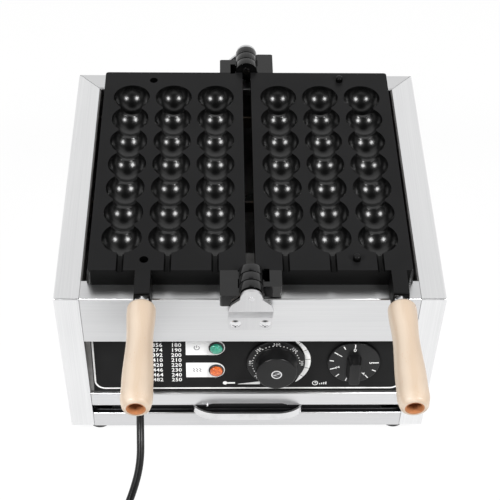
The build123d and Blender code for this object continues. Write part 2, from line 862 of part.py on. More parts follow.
def hinge_lugs(side, lug_front, lug_rear):
    """One plate's lugs and knuckles, cast at its ends."""
    body = plate_outside(side)
    front = lug(side, plate_front - lug_front, plate_front + plate_draft) - body
    rear = lug(side, plate_back - plate_draft, plate_back + lug_rear) - body
    knuckles = [knuckle(side, y0, y1) for y0, y1, owner in knuckle_spans() if owner == side]
    return [front - notch(side), rear - notch(side)] + knuckles


def cavity_places(side):
    """Middles of one plate's cavities."""
    rows = spread(cavity_rows, cavity_pitch_y)
    columns = spread(cavity_columns, cavity_pitch_x)
    return [(side * plate_mid_x + dx, plate_shift + dy) for dx in columns for dy in rows]


def capsule(radius, reach, x):
    """Bar along Y with ball ends, its axis in the plates' top face."""
    outline = [(-reach, radius), (reach, radius)]
    side = Line(*outline)
    ends = [RadiusArc((-reach - radius, 0), outline[0], radius),
            RadiusArc(outline[1], (reach + radius, 0), radius)]
    axis = Line((reach + radius, 0), (-reach - radius, 0))
    face = make_face(Wire([ends[0].edge(), side.edge(), ends[1].edge(), axis.edge()]))
    plane = Plane(origin=(x, plate_shift, plate_top), x_dir=(0, 1, 0), z_dir=(1, 0, 0))
    return revolve(plane * face, Axis((x, plate_shift, plate_top), (0, 1, 0)))


def plate_outside(side):
    """The plate's tapered outside, without its hollow underside."""
    middle = Pos(side * plate_mid_x, plate_shift)
    top = Plane.XY.offset(plate_top) * middle * RectangleRounded(plate_width, plate_length, plate_corner)
    foot_face = Plane.XY.offset(plate_z) * middle * RectangleRounded(
        plate_width + 2 * plate_draft, plate_length + 2 * plate_draft, plate_corner + plate_draft)
    low, high = sorted((0, side * plate_gap / 2))
    hinge_room = block(low - 1, high + 1, plate_front - 10, plate_back + 10, deck_z, plate_top + 1)
    return loft([top, foot_face]) - hinge_room


def cooking_plate(side, handle_x):
    """Cast plate: tapered body, skirted underside with half-round ribs, tab, cavities, grooves."""
    middle = Pos(side * plate_mid_x, plate_shift)
    inside_width = plate_width + 2 * (plate_draft - skirt_wall)
    inside_length = plate_length + 2 * (plate_draft - skirt_wall)
    pocket = Plane.XY.offset(plate_z) * middle * RectangleRounded(inside_width, inside_length, plate_corner)
    plate = plate_outside(side) - extrude(pocket, amount=plate_thickness - web)
    reach = (cavity_rows - 1) / 2 * cavity_pitch_y
    for dx in spread(cavity_columns, cavity_pitch_x):
        x = side * plate_mid_x + dx
        room = block(x - 2 * rib_radius, x + 2 * rib_radius, plate_front, plate_back,
                     plate_top - 2 * rib_radius, plate_top - rib_crown_gap)
        plate += capsule(rib_radius, reach, x) & room
    plate += handle_tab(handle_x)
    plate -= notch(side)
    plate -= [Pos(x, y, plate_top) * Sphere(cavity_radius) for x, y in cavity_places(side)]
    for dx in spread(cavity_columns, cavity_pitch_x):
        x = side * plate_mid_x + dx
        plate -= rod_y(cavity_neck_radius, plate_shift - reach, plate_shift + reach, x, plate_top)
        plate -= rod_y(groove_radius, plate_front - 5, plate_shift - reach, x, plate_top)
    return plate - handle_stud(handle_x)


def handle_tab(x):
    """Tapered tab cast on the plate's front edge for the handle stud."""
    front = plate_front - tab_length
    top, low = plate_top, plate_top - tab_height
    section = Polyline((x - tab_width / 2, top), (x + tab_width / 2, top),
                       (x + tab_width / 2 + tab_draft, low), (x - tab_width / 2 - tab_draft, low), close=True)
    plane = Plane(origin=(0, front, 0), x_dir=(1, 0, 0), z_dir=(0, -1, 0))
    tab = extrude(plane * make_face(section), amount=-(tab_length + 3))
    end_edges = tab.faces().sort_by(Axis.Y)[0].edges().filter_by(Axis.Z, reverse=True)
    return fillet(end_edges.sort_by(Axis.Z)[-1:], tab_corner)


def tab_end():
    """Y of the handle tabs' end faces."""
    return plate_front - tab_length


def handle_stud(x):
    """Plain stud from the tab to the nut in the grip's end."""
    grip_start = tab_end() - nut_thickness
    end = grip_start - grip_length + end_bore_depth - nut_thickness - 2
    return rod_y(stud_radius, tab_end() + stud_depth, end, x, handle_z)


def handle_nut(x):
    """Hexagon nut between the casting and the grip."""
    nut = hex_y(nut_width, tab_end() - nut_thickness, tab_end(), x, handle_z)
    cone = rod_y(nut_width * 0.56, tab_end() - nut_thickness, tab_end(), x, handle_z)
    cone = chamfer(cone.edges().filter_by(GeomType.CIRCLE), 0.9)
    return (nut & cone) - handle_stud(x)


def handle_end_nut(x):
    """Nut that clamps the grip, deep in its end bore."""
    floor = tab_end() - nut_thickness - grip_length + end_bore_depth
    return hex_y(nut_width, floor - nut_thickness, floor, x, handle_z) - handle_stud(x)


def handle_grip(x):
    """Turned wooden grip: round head, waist, fuller end with a bore for its nut."""
    start = tab_end() - nut_thickness
    bore = stud_radius + grip_bore_clearance
    head = grip_head_radius
    curve = Spline((grip_head_round, head), (grip_waist_at, grip_waist_radius),
                   (grip_belly_at, grip_belly_radius), (grip_length - 1.5, grip_end_radius + 0.4),
                   tangents=[(1, 0.05), (0.5, -1.0)])
    head_arc = RadiusArc((0, head - grip_head_round), (grip_head_round, head), grip_head_round)
    line = Polyline((grip_length - 1.5, grip_end_radius + 0.4), (grip_length, grip_end_radius - 1.5),
                    (grip_length, end_bore_radius), (grip_length - end_bore_depth, end_bore_radius),
                    (grip_length - end_bore_depth, bore), (0, bore), (0, head - grip_head_round))
    face = make_face(Wire([head_arc.edge(), curve.edge(), *line.edges()]))
    plane = Plane(origin=(x, start, handle_z), x_dir=(0, -1, 0), z_dir=(1, 0, 0))
    return revolve(plane * face, Axis((x, start, handle_z), (0, -1, 0)))


def guide_pin(y):
    """Domed guide pin pressed into the right plate."""
    top = plate_top + guide_pin_height
    pin = rod_z(guide_pin_radius, plate_top - guide_pin_shank, top, guide_from_hinge, y)
    return fillet(pin.faces().sort_by(Axis.Z)[-1].edges(), 2.4)


def guide_places():
    """Y of the guide pins and of their holes."""
    return (plate_front + guide_inset, plate_back - guide_inset)


def left_plate():
    """Left plate with the guide pins' holes."""
    plate = cooking_plate(-1, left_handle_x)
    radius = guide_pin_radius + guide_clearance
    for y in guide_places():
        plate -= rod_z(radius, plate_top - guide_hole_depth, plate_top + 1, -guide_from_hinge, y)
    return plate


def right_plate():
    """Right plate with seats for the guide pins."""
    plate = cooking_plate(1, right_handle_x)
    for y in guide_places():
        plate -= rod_z(guide_pin_radius, plate_top - guide_pin_shank, plate_top + 1, guide_from_hinge, y)
    return plate


def hinge_bracket(out):
    """Bent bracket: a round ear for the pin, a slope back to the panel, a screwed flange."""
    skin = front_y if out < 0 else back_y
    ear = ear_inner(out)
    side = Side.RIGHT if out < 0 else Side.LEFT
    line = [(ear, axis_z + bracket_blank_height), (ear, deck_z + bracket_ear_foot),
            (skin, deck_z - bracket_bend_drop), (skin, deck_z - bracket_drop)]
    half = bracket_width / 2
    bent = folded(line, -half, half, radius=3, thickness=bracket_sheet, side=side)
    neck = bracket_ear_radius
    shoulder, high = deck_z + bracket_shoulder_height, deck_z + bracket_neck_height
    low, bend_at = deck_z - bracket_drop, deck_z + bracket_ear_foot
    outline = Polyline((-half, low), (half, low), (half, bend_at), (half - 2.5, shoulder), (neck, high),
                       (neck, axis_z), (-neck, axis_z), (-neck, high), (-half + 2.5, shoulder),
                       (-half, bend_at), close=True)
    face = make_face(outline)
    face = fillet(face.vertices().sort_by(Axis.Y)[:2], bracket_corner)
    shoulders = face.vertices().filter_by_position(Axis.Y, shoulder - 0.1, high - 0.1)
    face = fillet(shoulders, 3)
    face += Pos(0, axis_z) * Circle(neck)
    plane = Plane(origin=(0, -body_depth, 0), x_dir=(1, 0, 0), z_dir=(0, -1, 0))
    bracket = bent & extrude(plane * face, amount=-2 * body_depth)
    bracket -= rod_y(rivet_radius, ear - 10, ear + 10, 0, axis_z)
    for x in spread(2, screw_spacing):
        bracket -= rod_y(screw_radius, skin - 10, skin + 10, x, deck_z - screw_drop)
    return bracket


def ear_inner(out):
    """Y of the bracket ear's face beside the knuckles."""
    if out < 0:
        return plate_front - left_lug_front - bracket_ear_gap
    return plate_back + right_lug_rear + bracket_ear_gap


def hinge_pin(out):
    """Shouldered pin riveted into the bracket's ear."""
    ear = ear_inner(out)
    spans = knuckle_spans()
    inner_end = spans[2][1] + 0.5 if out < 0 else spans[5][0] - 0.5
    pin = rod_y(hinge_pin_radius, ear, inner_end, 0, axis_z)
    rivet = rod_y(rivet_radius, ear, ear + out * (bracket_sheet + rivet_proud), 0, axis_z)
    return pin + rivet


def bracket_screws():
    """Two screws through each hinge bracket."""
    screws = []
    for out in (-1, 1):
        face = (front_y if out < 0 else back_y) + out * bracket_sheet
        for x in spread(2, screw_spacing):
            screws.append(screw_y(x, face, deck_z - screw_drop, out, screw_head_radius, screw_head_height,
                                  screw_radius, screw_length))
    return screws


# Crumb tray


def tray_floor_z():
    """Underside of the tray's pan."""
    return floor_z + 2 * sheet + tray_lift


def tray_top_z():
    """Rim of the tray's pan, under the rail."""
    return rail_z - tray_top_gap


def crumb_tray():
    """Open pan with rounded lower corners."""
    front = front_y + tray_front_recess
    outer = block(-tray_half_width, tray_half_width, front, tray_back, tray_floor_z(), tray_top_z())
    inner = block(-tray_half_width + tray_wall, tray_half_width - tray_wall, front + tray_wall,
                  tray_back - tray_wall, tray_floor_z() + tray_wall, tray_top_z() + 1)
    outer = fillet(outer.edges().filter_by(Axis.Z), 4)
    inner = fillet(inner.edges().filter_by(Axis.Z), 3)
    return outer - inner


def tray_front():
    """Folded front: the panel below the slot, and its upstand welded to the pan."""
    front = front_y + tray_front_recess - sheet
    half = inner_x - front_gap
    line = [(front_y, floor_z + tray_front_gap), (front_y, tray_front_z), (front, tray_front_z),
            (front, tray_top_z())]
    sheet_front = folded(line, -half, half, radius=1.3, side=Side.RIGHT)
    corners = [block(x0, x1, front - 0.01, front + 5, tray_front_z + 0.2, tray_top_z() + 1)
               for x0, x1 in ((tray_half_width, half + 1), (-half - 1, -tray_half_width))]
    return sheet_front - corners


def tray_pull():
    """Strip bowed out past the front as a finger pull."""
    foot_y = front_y + tray_front_recess - sheet - pull_thickness
    out = front_y - pull_reach
    reach = pull_middle + pull_slant
    points = [(-reach - pull_foot, foot_y), (-reach, foot_y), (-pull_middle, out), (pull_middle, out),
              (reach, foot_y), (reach + pull_foot, foot_y)]
    line = FilletPolyline(*points, radius=6)
    outline = offset(line, amount=pull_thickness, side=Side.LEFT, closed=True)
    low, high = tray_front_z + pull_bottom_gap, rail_z - pull_top_gap
    return extrude(Plane.XY.offset(low) * make_face(outline), amount=high - low)


def tray_runner():
    """Channel that carries and guides the tray's right edge."""
    web_x = tray_half_width + runner_clearance
    bottom = floor_z + sheet
    front = front_y + runner_front_gap
    top = tray_top_z() + runner_lip_gap + sheet
    line = [(web_x - runner_foot, bottom), (web_x + sheet, bottom), (web_x + sheet, top),
            (web_x - runner_lip, top)]
    path = FilletPolyline(*line, radius=bend)
    outline = offset(path, amount=sheet, side=Side.LEFT, closed=True)
    plane = Plane(origin=(0, front, 0), x_dir=(1, 0, 0), z_dir=(0, -1, 0))
    return extrude(plane * make_face(outline), amount=-(back_y - runner_back_gap - front))


# Power cord


def cable_gland():
    """Gland through the panel: flange, nut behind, and a tapered relief round the cord."""
    back = panel_y + panel_thickness
    flange = rod_y(gland_flange_radius, film_y - gland_flange_thickness, film_y, cord_x, gland_z)
    barrel = rod_y(relief_radius_back, film_y, back + gland_barrel, cord_x, gland_z)
    nut = hex_y(gland_nut_width, back, back + gland_nut_thickness, cord_x, gland_z)
    start = (cord_x, film_y - gland_flange_thickness, gland_z)
    plane = Plane(origin=start, x_dir=(1, 0, 0), z_dir=(0, -1, 0))
    end = plane.offset(relief_length - gland_flange_thickness)
    taper = loft([plane * Circle(relief_radius_back), end * Circle(relief_radius_front)])
    return flange + barrel + nut + taper


def cord_route():
    """The lead from its gland down to the surface and on to the coil."""
    out = panel_y - film_y + relief_length
    return [
        panel_point(cord_x, out, gland_rise),
        panel_point(cord_x, out + cord_straight, gland_rise),
        (-106.2, -225.5, 95.5),
        (-105.6, -253.0, 76.0),
        (-114.5, -276.0, 54.5),
        (-127.5, -298.5, 35.0),
        (-141.5, -321.5, 17.5),
        (-152.5, -346.0, 6.5),
        (-161.0, -368.0, cord_radius + coil_lift),
    ]


def coil_start_deg():
    """Where on the coil the lead joins it, heading the way it arrives; the turns run anticlockwise."""
    before, last = cord_route()[-2:]
    return math.degrees(math.atan2(before[0] - last[0], last[1] - before[1]))


def coil_middle():
    """Middle of the coil, from the point where the lead joins its outer turns."""
    last = cord_route()[-1]
    angle = math.radians(coil_start_deg())
    radius = coil_mean_radius + cord_radius
    return (last[0] - radius * math.cos(angle), last[1] - radius * math.sin(angle))


def corner_radii(route):
    """Radius at each corner: 0.45 of the shorter run over the tangent of half the turn."""
    radii = []
    for before, here, after in zip(route, route[1:], route[2:]):
        run_in = Vector(*here) - Vector(*before)
        run_out = Vector(*after) - Vector(*here)
        half_turn = math.radians(run_in.get_angle(run_out)) / 2
        radii.append(0.45 * min(run_in.length, run_out.length) / math.tan(half_turn))
    return radii


def cord_tube(name, route):
    """Tube along a stretch that isn't coiled; prints its radii, and its length by line and by volume."""
    radii = corner_radii(route)
    line = FilletPolyline(*route, radius=radii)
    tube = sweep((line ^ 0) * Circle(cord_radius), path=line)
    by_volume = tube.volume / (math.pi * cord_radius**2)
    print(name, "radii", [round(r, 1) for r in radii], "length", round(line.length, 1), round(by_volume, 1))
    return tube


def coil_section(grow=0.0):
    """Outline across the coil's turns: two beside each other, two layers, and one laid in their groove."""
    width = 4 * cord_radius + 2 * grow
    height = coil_height() + 2 * grow
    return Pos(coil_mean_radius, height / 2 - grow) * RectangleRounded(width, height, cord_radius + grow)


def coil_height():
    """Two layers and the turn that lies in the groove between two of the upper one."""
    return 4 * cord_radius + math.sqrt(3) * cord_radius


def cord_coil():
    """Outer shape of the put-away turns."""
    ring = revolve(Plane.XZ * coil_section(), Axis.Z)
    turned = coil_turns * 360 + coil_leave_deg - coil_start_deg()
    length = math.radians(turned) * coil_mean_radius
    print("coil length", round(length, 1), "from", round(coil_start_deg(), 2))
    return Pos(*coil_middle(), coil_lift) * ring


def cord_tie():
    """Band that holds the coil's turns together."""
    band = coil_section(tie_thickness) - coil_section()
    arc = revolve(Plane.XZ * band, Axis.Z, revolution_arc=tie_width_deg)
    return Pos(*coil_middle(), coil_lift) * Rot(0, 0, tie_at_deg) * arc


def tail_frame():
    """Where the last turn leaves the coil: the origin on the surface, and the heading along X."""
    x, y = coil_middle()
    angle = math.radians(coil_leave_deg)
    start = (x + coil_mean_radius * math.cos(angle), y + coil_mean_radius * math.sin(angle), 0)
    return Pos(*start) * Rot(0, 0, coil_leave_deg + 90)


def tail_route():
    """The lead from the coil's top turn out to the plug, in the tail's own frame."""
    top = coil_lift + coil_height() - cord_radius
    return [(0, 0, top), (tail_length * 0.33, 0, top - 0.1), (tail_length * 0.7, 0, plug_flat),
            (tail_length, 0, plug_flat)]


def power_plug():
    """Moulded plug on its flat side: ribbed neck, shoulder and round face."""
    shoulder = tail_length + plug_neck_length
    end = shoulder + plug_length
    outline = Polyline((tail_length, 0), (tail_length, plug_neck_radius - 1.2),
                       (shoulder - 4, plug_neck_radius), (shoulder + 8, plug_radius - 2),
                       (shoulder + 14, plug_radius), (end - plug_rim, plug_radius), (end, plug_radius - 1),
                       (end, 0), close=True)
    body = revolve(Plane.XZ * make_face(outline), Axis.X)
    ring = Cylinder(plug_neck_radius + 2, 1.6) - Cylinder(cord_radius + 0.4, 1.6)
    for i in range(4):
        body -= Pos(tail_length + 4 + 4.5 * i, 0, 0) * Rot(0, 90, 0) * ring
    body &= Box(2 * end + 1, 3 * plug_radius, 2 * plug_flat)
    return tail_frame() * Pos(0, 0, plug_flat) * body


def plug_pins():
    """Two round pins."""
    end = tail_length + plug_neck_length + plug_length
    pins = []
    for y in spread(2, plug_pin_spacing):
        place = Pos(end + plug_pin_length / 2, y, plug_flat) * Rot(0, 90, 0)
        pin = place * Cylinder(plug_pin_radius, plug_pin_length)
        pins.append(tail_frame() * fillet(pin.edges().sort_by(Axis.X)[-1], 1.5))
    return pins


def write(name, piece):
    """Write one sub-part as a STEP file; a list of pieces stays a group of solids."""
    if isinstance(piece, (list, tuple)):
        piece = Compound(children=[Compound(children=p.solids()) if len(p.solids()) > 1 else p.solid()
                                   for p in piece])
    export_step(piece, f"parts/{name}.step")


def main():
    """Build every sub-part and write it to the parts folder."""
    os.makedirs("parts", exist_ok=True)
    panel = side_panel_right()
    liner = liner_side()
    lamps = (power_lamp_z, heat_lamp_z)
    write("side_panel_right", panel)
    write("side_panel_left", mirror(panel, Plane.YZ))
    write("rear_panel", rear_panel())
    write("front_apron", front_apron())
    write("front_rail", front_rail())
    write("base_plate", base_plate())
    write("feet", [foot(x, y) for x, y in foot_places()])
    write("foot_screws", [foot_screw(x, y) for x, y in foot_places()])
    write("rear_screws", [screw_y(x, back_y, z, 1, rear_screw_head_radius, rear_screw_head_height,
                                  rear_screw_radius, rear_screw_length) for x, z in rear_screw_places()])
    write("control_panel", control_panel())
    write("panel_film", on_panel(panel_film()))
    write("lamp_labels", on_panel([lamp_label(z) for z in lamps]))
    write("power_lamp_lens", on_panel(lamp_lens(power_lamp_z)))
    write("heat_lamp_lens", on_panel(lamp_lens(heat_lamp_z)))
    write("lamp_bodies", on_panel([lamp_body(z) for z in lamps]))
    write("thermostat_body", on_panel(thermostat_body()))
    write("timer_body", on_panel(timer_body()))
    write("thermostat_dial", on_panel(thermostat_dial()))
    write("thermostat_shaft", on_panel(d_shaft(thermostat_x, thermostat_z)))
    write("dial_screw", on_panel(dial_screw()))
    write("timer_dial", on_panel(timer_dial()))
    write("timer_shaft", on_panel(d_shaft(timer_x, timer_z)))
    write("terminal_block", terminal_block())
    write("chamber_liner_right", liner)
    write("chamber_liner_left", mirror(liner, Plane.YZ))
    write("chamber_liner_rear", liner_rear())
    write("control_box", control_box())
    write("heater_left", heater(-1))
    write("heater_right", heater(1))
    write("heater_bars", [heater_bar(y) for y in (bar_front_y, bar_back_y)])
    ends = [x for side in (-1, 1) for x in (heater_runs(side)[0], heater_runs(side)[-1])]
    write("heater_terminals", [heater_bead(x) for x in ends])
    write("left_plate", left_plate())
    write("right_plate", right_plate())
    write("left_hinge_lugs", hinge_lugs(-1, left_lug_front, left_lug_rear))
    write("right_hinge_lugs", hinge_lugs(1, right_lug_front, right_lug_rear))
    write("guide_pins", [guide_pin(y) for y in guide_places()])
    write("hinge_bracket_front", hinge_bracket(-1))
    write("hinge_bracket_rear", hinge_bracket(1))
    write("hinge_pins", [hinge_pin(-1), hinge_pin(1)])
    write("bracket_screws", bracket_screws())
    for name, x in (("left", left_handle_x), ("right", right_handle_x)):
        write(f"{name}_handle_stud", handle_stud(x))
        write(f"{name}_handle_nut", handle_nut(x))
        write(f"{name}_handle_grip", handle_grip(x))
        write(f"{name}_handle_end_nut", handle_end_nut(x))
    write("crumb_tray", crumb_tray())
    write("tray_front", tray_front())
    write("tray_pull", tray_pull())
    write("tray_runners", both_sides(tray_runner()))
    write("cable_gland", on_panel(cable_gland()))
    write("cord_run", cord_tube("run", cord_route()))
    write("cord_coil", cord_coil())
    write("cord_tie", cord_tie())
    write("cord_tail", tail_frame() * cord_tube("tail", tail_route()))
    write("power_plug", power_plug())
    write("plug_pins", plug_pins())


main()
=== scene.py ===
"""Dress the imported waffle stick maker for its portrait.

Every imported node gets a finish, the leaning control panel and its dials get their printed marks, the
turned grips, lamp lenses and power lead get finer surfaces of their own, and the part stands on a pale
floor under soft studio light. Lengths are metres in the part's frame unless a name or docstring says
millimetres: +X to the user's right, +Y to the back, +Z up, the origin on the surface it stands on.
"""
from __future__ import annotations

import logging
import math
from dataclasses import dataclass, field
from enum import Enum
from typing import Callable, Iterable, Mapping, Sequence, Union

import bmesh
import bpy
import numpy as np
from mathutils import Matrix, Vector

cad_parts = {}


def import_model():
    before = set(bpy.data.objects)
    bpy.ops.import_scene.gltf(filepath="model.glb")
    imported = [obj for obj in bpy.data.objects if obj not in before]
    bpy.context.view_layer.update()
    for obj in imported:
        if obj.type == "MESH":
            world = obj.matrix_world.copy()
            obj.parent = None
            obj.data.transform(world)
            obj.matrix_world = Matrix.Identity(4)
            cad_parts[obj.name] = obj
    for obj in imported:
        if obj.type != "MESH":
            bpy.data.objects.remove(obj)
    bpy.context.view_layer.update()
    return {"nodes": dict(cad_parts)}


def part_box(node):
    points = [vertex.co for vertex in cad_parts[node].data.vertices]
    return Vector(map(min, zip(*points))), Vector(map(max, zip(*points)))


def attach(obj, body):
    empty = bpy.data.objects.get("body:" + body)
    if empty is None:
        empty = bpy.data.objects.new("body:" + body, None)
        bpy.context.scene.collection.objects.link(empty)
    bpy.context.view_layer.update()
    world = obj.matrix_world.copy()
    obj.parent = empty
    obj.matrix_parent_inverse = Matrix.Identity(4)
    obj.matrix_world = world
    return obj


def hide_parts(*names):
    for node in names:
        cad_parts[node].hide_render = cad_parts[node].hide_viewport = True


LOG = logging.getLogger("waffle_stick_maker")
MM = 0.001
Colour = tuple[float, float, float]
WHITE = (1.0, 1.0, 1.0, 1.0)

# Places on the control panel in millimetres, across from its middle and up its slope.
THERMOSTAT = (27.6, 40.6)
TIMER = (106.1, 41.2)
LAMP_X = -32.5
LAMP_UPS = (59.8, 29.5)


# What every piece, lamp and camera needs


def standing(right: Sequence[float], up: Sequence[float], back: Sequence[float],
             spot: Sequence[float]) -> Matrix:
    """The matrix of an object that stands at a spot and whose own axes point in given directions.

    Args:
        right: the unit vector that its first axis points along.
        up: its second axis's.
        back: its third axis's.
        spot: where it stands.

    Returns:
        The matrix, its first three columns the axes and its last the spot.
    """
    matrix = np.eye(4)
    matrix[:3] = np.stack([right, up, back, spot], -1)
    return Matrix(matrix.tolist())


def linked(name: str, data: bpy.types.ID) -> bpy.types.Object:
    """Make an object of a mesh, curve, camera or light.

    Args:
        name: the object's name.
        data: what it shows.

    Returns:
        The object, in the scene.
    """
    made = bpy.data.objects.new(name, data)
    bpy.context.scene.collection.objects.link(made)
    return made


def settle(made: bpy.types.Object, body: str, slot: str, *nodes: str) -> None:
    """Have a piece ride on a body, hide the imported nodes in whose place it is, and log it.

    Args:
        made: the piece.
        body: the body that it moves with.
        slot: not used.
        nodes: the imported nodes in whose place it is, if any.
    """
    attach(made, body)
    if nodes:
        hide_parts(*nodes)
    LOG.info("%s rides on %s", made.name, body)


# Surfaces


@dataclass
class Shell:
    """A surface as whole arrays: its points, and blocks of faces with one number of corners each."""

    points: np.ndarray
    faces: list[np.ndarray] = field(default_factory=list)

    def __add__(self, other: "Shell") -> "Shell":
        """Join two surfaces into one, the second one's corner numbers shifted past the first's."""
        shift = len(self.points)
        moved = [block + shift for block in other.faces]
        return Shell(np.vstack([self.points, other.points]), self.faces + moved)

    def through(self, place: Callable[[np.ndarray], np.ndarray]) -> "Shell":
        """Carry every point through a function of the whole array.

        Args:
            place: turns an array of points, one row each, into the array of where they go.

        Returns:
            The moved surface.
        """
        return Shell(place(self.points), self.faces)

    def piece(self, name: str, finish: "Finish", crease: float = 35.0) -> bpy.types.Object:
        """Make the surface a mesh object at the origin, its doubles merged and its faces outwards.

        Args:
            name: the object's name.
            finish: what it is made of.
            crease: the angle in degrees past which an edge stays sharp.

        Returns:
            The object, in the scene.
        """
        mesh = bpy.data.meshes.new(name)
        faces = [corners for block in self.faces for corners in block.tolist()]
        mesh.from_pydata(self.points.tolist(), [], faces)
        work = bmesh.new()
        work.from_mesh(mesh)
        bmesh.ops.remove_doubles(work, verts=work.verts, dist=1e-7)
        bmesh.ops.recalc_face_normals(work, faces=work.faces)
        work.to_mesh(mesh)
        work.free()
        mesh.shade_smooth()
        mesh.set_sharp_from_angle(angle=math.radians(crease))
        mesh.materials.append(finish.material())
        return linked(name, mesh)


def joined(shells: Iterable[Shell]) -> Shell:
    """Any number of surfaces as one, in their order."""
    return sum(shells, Shell(np.empty((0, 3))))


def compass(angle: np.ndarray | float) -> np.ndarray:
    """The unit vector at an angle in radians, its cosine and sine, one row for each angle."""
    return np.stack([np.cos(angle), np.sin(angle)], -1)


def beside(run: np.ndarray) -> np.ndarray:
    """The unit vectors a quarter turn to the left of each row's direction."""
    run = run / np.linalg.norm(run, axis=1, keepdims=True)
    return np.stack([-run[:, 1], run[:, 0]], -1)


def grid_faces(rows: int, columns: int, round_rows: bool = False, round_columns: bool = False) -> np.ndarray:
    """Number the corners of a grid's faces: each face joins a point, the next row's, and their neighbours.

    Args:
        rows: rows of points.
        columns: points in a row.
        round_rows: whether the last row joins the first.
        round_columns: whether each row's last point joins its first.

    Returns:
        One row of four corner numbers for each face.
    """
    row = np.arange(rows if round_rows else rows - 1)
    column = np.arange(columns if round_columns else columns - 1)
    i, j = np.meshgrid(row, column, indexing="ij")
    down, right = (i + 1) % rows, (j + 1) % columns
    corners = [i * columns + j, down * columns + j, down * columns + right, i * columns + right]
    return np.stack(corners, -1).reshape(-1, 4)


def lathe(profile: np.ndarray, turns: int, whole: bool = True) -> Shell:
    """Turn a profile about the first axis: across = radius times cosine, up = radius times sine.

    Args:
        profile: along and radius, one row a point.
        turns: points round the axis.
        whole: whether the profile's last point joins its first.

    Returns:
        The turned surface as along, across, up.
    """
    angle = np.linspace(0.0, 2.0 * np.pi, turns, endpoint=False)
    along = np.repeat(profile[:, :1], turns, axis=1)
    across = profile[:, 1:] * np.cos(angle)
    up = profile[:, 1:] * np.sin(angle)
    points = np.stack([along, across, up], -1).reshape(-1, 3)
    return Shell(points, [grid_faces(len(profile), turns, whole, True)])


def slab(left: np.ndarray, right: np.ndarray, height: float, closed: bool = False) -> Shell:
    """Fill between two edges with a thin plate: its section at each step is the rectangle on both edges.

    Args:
        left: points of one edge, two numbers each.
        right: as many points of the other edge.
        height: the plate's thickness, from zero up.
        closed: whether the plate runs round to its own start.

    Returns:
        The plate, its third number the height.
    """
    count = len(left)
    low, high = np.zeros((count, 1)), np.full((count, 1), height)
    ring = [np.hstack(edge) for edge in ((left, low), (right, low), (right, high), (left, high))]
    points = np.stack(ring, 1).reshape(-1, 3)
    faces = [grid_faces(count, 4, closed, True)]
    if not closed:
        last = 4 * (count - 1)
        faces.append(np.array([[0, 1, 2, 3], [last + 3, last + 2, last + 1, last]]))
    return Shell(points, faces)


def stroke(path: np.ndarray, width: float, height: float, closed: bool = False) -> Shell:
    """Draw a line of even width: each point moves half the width to both sides, square to the path there.

    Args:
        path: the line's points, two numbers each.
        width: how wide it is.
        height: how thick its ink is.
        closed: whether it runs round to its own start.

    Returns:
        The drawn line as a thin plate.
    """
    if closed:
        run = np.roll(path, -1, axis=0) - np.roll(path, 1, axis=0)
    else:
        run = np.gradient(path, axis=0)
    side = beside(run) * width / 2
    return slab(path + side, path - side, height, closed)


def discs(centres: np.ndarray, radius: float, height: float, sides: int = 10) -> Shell:
    """Lay round dots: each is a flat prism whose rim is the centre plus the radius at even angles.

    Args:
        centres: the dots' middles, two numbers each.
        radius: their radius.
        height: how thick they are.
        sides: points round each rim.

    Returns:
        All the dots as one surface.
    """
    rim = radius * compass(np.linspace(0.0, 2.0 * np.pi, sides, endpoint=False))
    flat = centres[:, None, :] + rim[None, :, :]
    low = np.concatenate([flat, np.zeros(flat.shape[:2] + (1,))], -1)
    high = low + np.array([0.0, 0.0, height])
    points = np.concatenate([low, high], 1).reshape(-1, 3)
    start = np.arange(len(centres))[:, None] * 2 * sides
    ring = np.arange(sides)
    after = (ring + 1) % sides
    walls = np.stack([ring, after, after + sides, ring + sides], -1)
    walls = (start[:, :, None] + walls[None]).reshape(-1, 4)
    return Shell(points, [walls, start + ring[::-1], start + ring + sides])


def arc(centre: Sequence[float], radius: float, start: float, end: float, count: int) -> np.ndarray:
    """Points of a circle's arc: the centre plus the radius at even angles from start to end, in degrees.

    Args:
        centre: the circle's middle, two numbers.
        radius: its radius.
        start: the first angle.
        end: the last angle.
        count: how many points.

    Returns:
        One row of two numbers for each point.
    """
    return np.asarray(centre) + radius * compass(np.radians(np.linspace(start, end, count)))


def rounded(half: float, low: float, high: float, corner: float) -> np.ndarray:
    """A rounded rectangle's outline: quarter circles about the corners of a plain one, nine points each.

    Args:
        half: half the plain rectangle's width.
        low: its lower edge.
        high: its upper edge.
        corner: the circles' radius.

    Returns:
        Across and up, one row for each point.
    """
    middles = ((half, low, -90), (half, high, 0), (-half, high, 90), (-half, low, 180))
    return np.vstack([arc((x, up), corner, start, start + 90, 9) for x, up, start in middles])


def through_knots(knots: np.ndarray, first: Sequence[float], last: Sequence[float], count: int) -> np.ndarray:
    """A smooth line through knots: a cubic on each run, its slopes the mean of the neighbouring runs'.

    Args:
        knots: the points to pass through, two numbers each.
        first: the direction at the first knot.
        last: the direction at the last knot.
        count: points on each run.

    Returns:
        The line's points, from the first knot to the last.
    """
    length = np.linalg.norm(np.diff(knots, axis=0), axis=1)
    chord = np.diff(knots, axis=0) / length[:, None]
    before, after = length[:-1, None], length[1:, None]
    inner = (chord[:-1] * after + chord[1:] * before) / (before + after)
    ends = [np.asarray(v, float) / np.linalg.norm(v) for v in (first, last)]
    slope = np.vstack([ends[:1], inner, ends[1:]])
    t = np.linspace(0.0, 1.0, count, endpoint=False)[None, :, None]
    a, b = knots[:-1, None], knots[1:, None]
    m, n = slope[:-1, None] * length[:, None, None], slope[1:, None] * length[:, None, None]
    runs = ((2 * t**3 - 3 * t**2 + 1) * a + (t**3 - 2 * t**2 + t) * m
            + (3 * t**2 - 2 * t**3) * b + (t**3 - t**2) * n)
    return np.vstack([runs.reshape(-1, knots.shape[1]), knots[-1:]])


# Nodes that can be reckoned with


Number = Union["Wire", float]


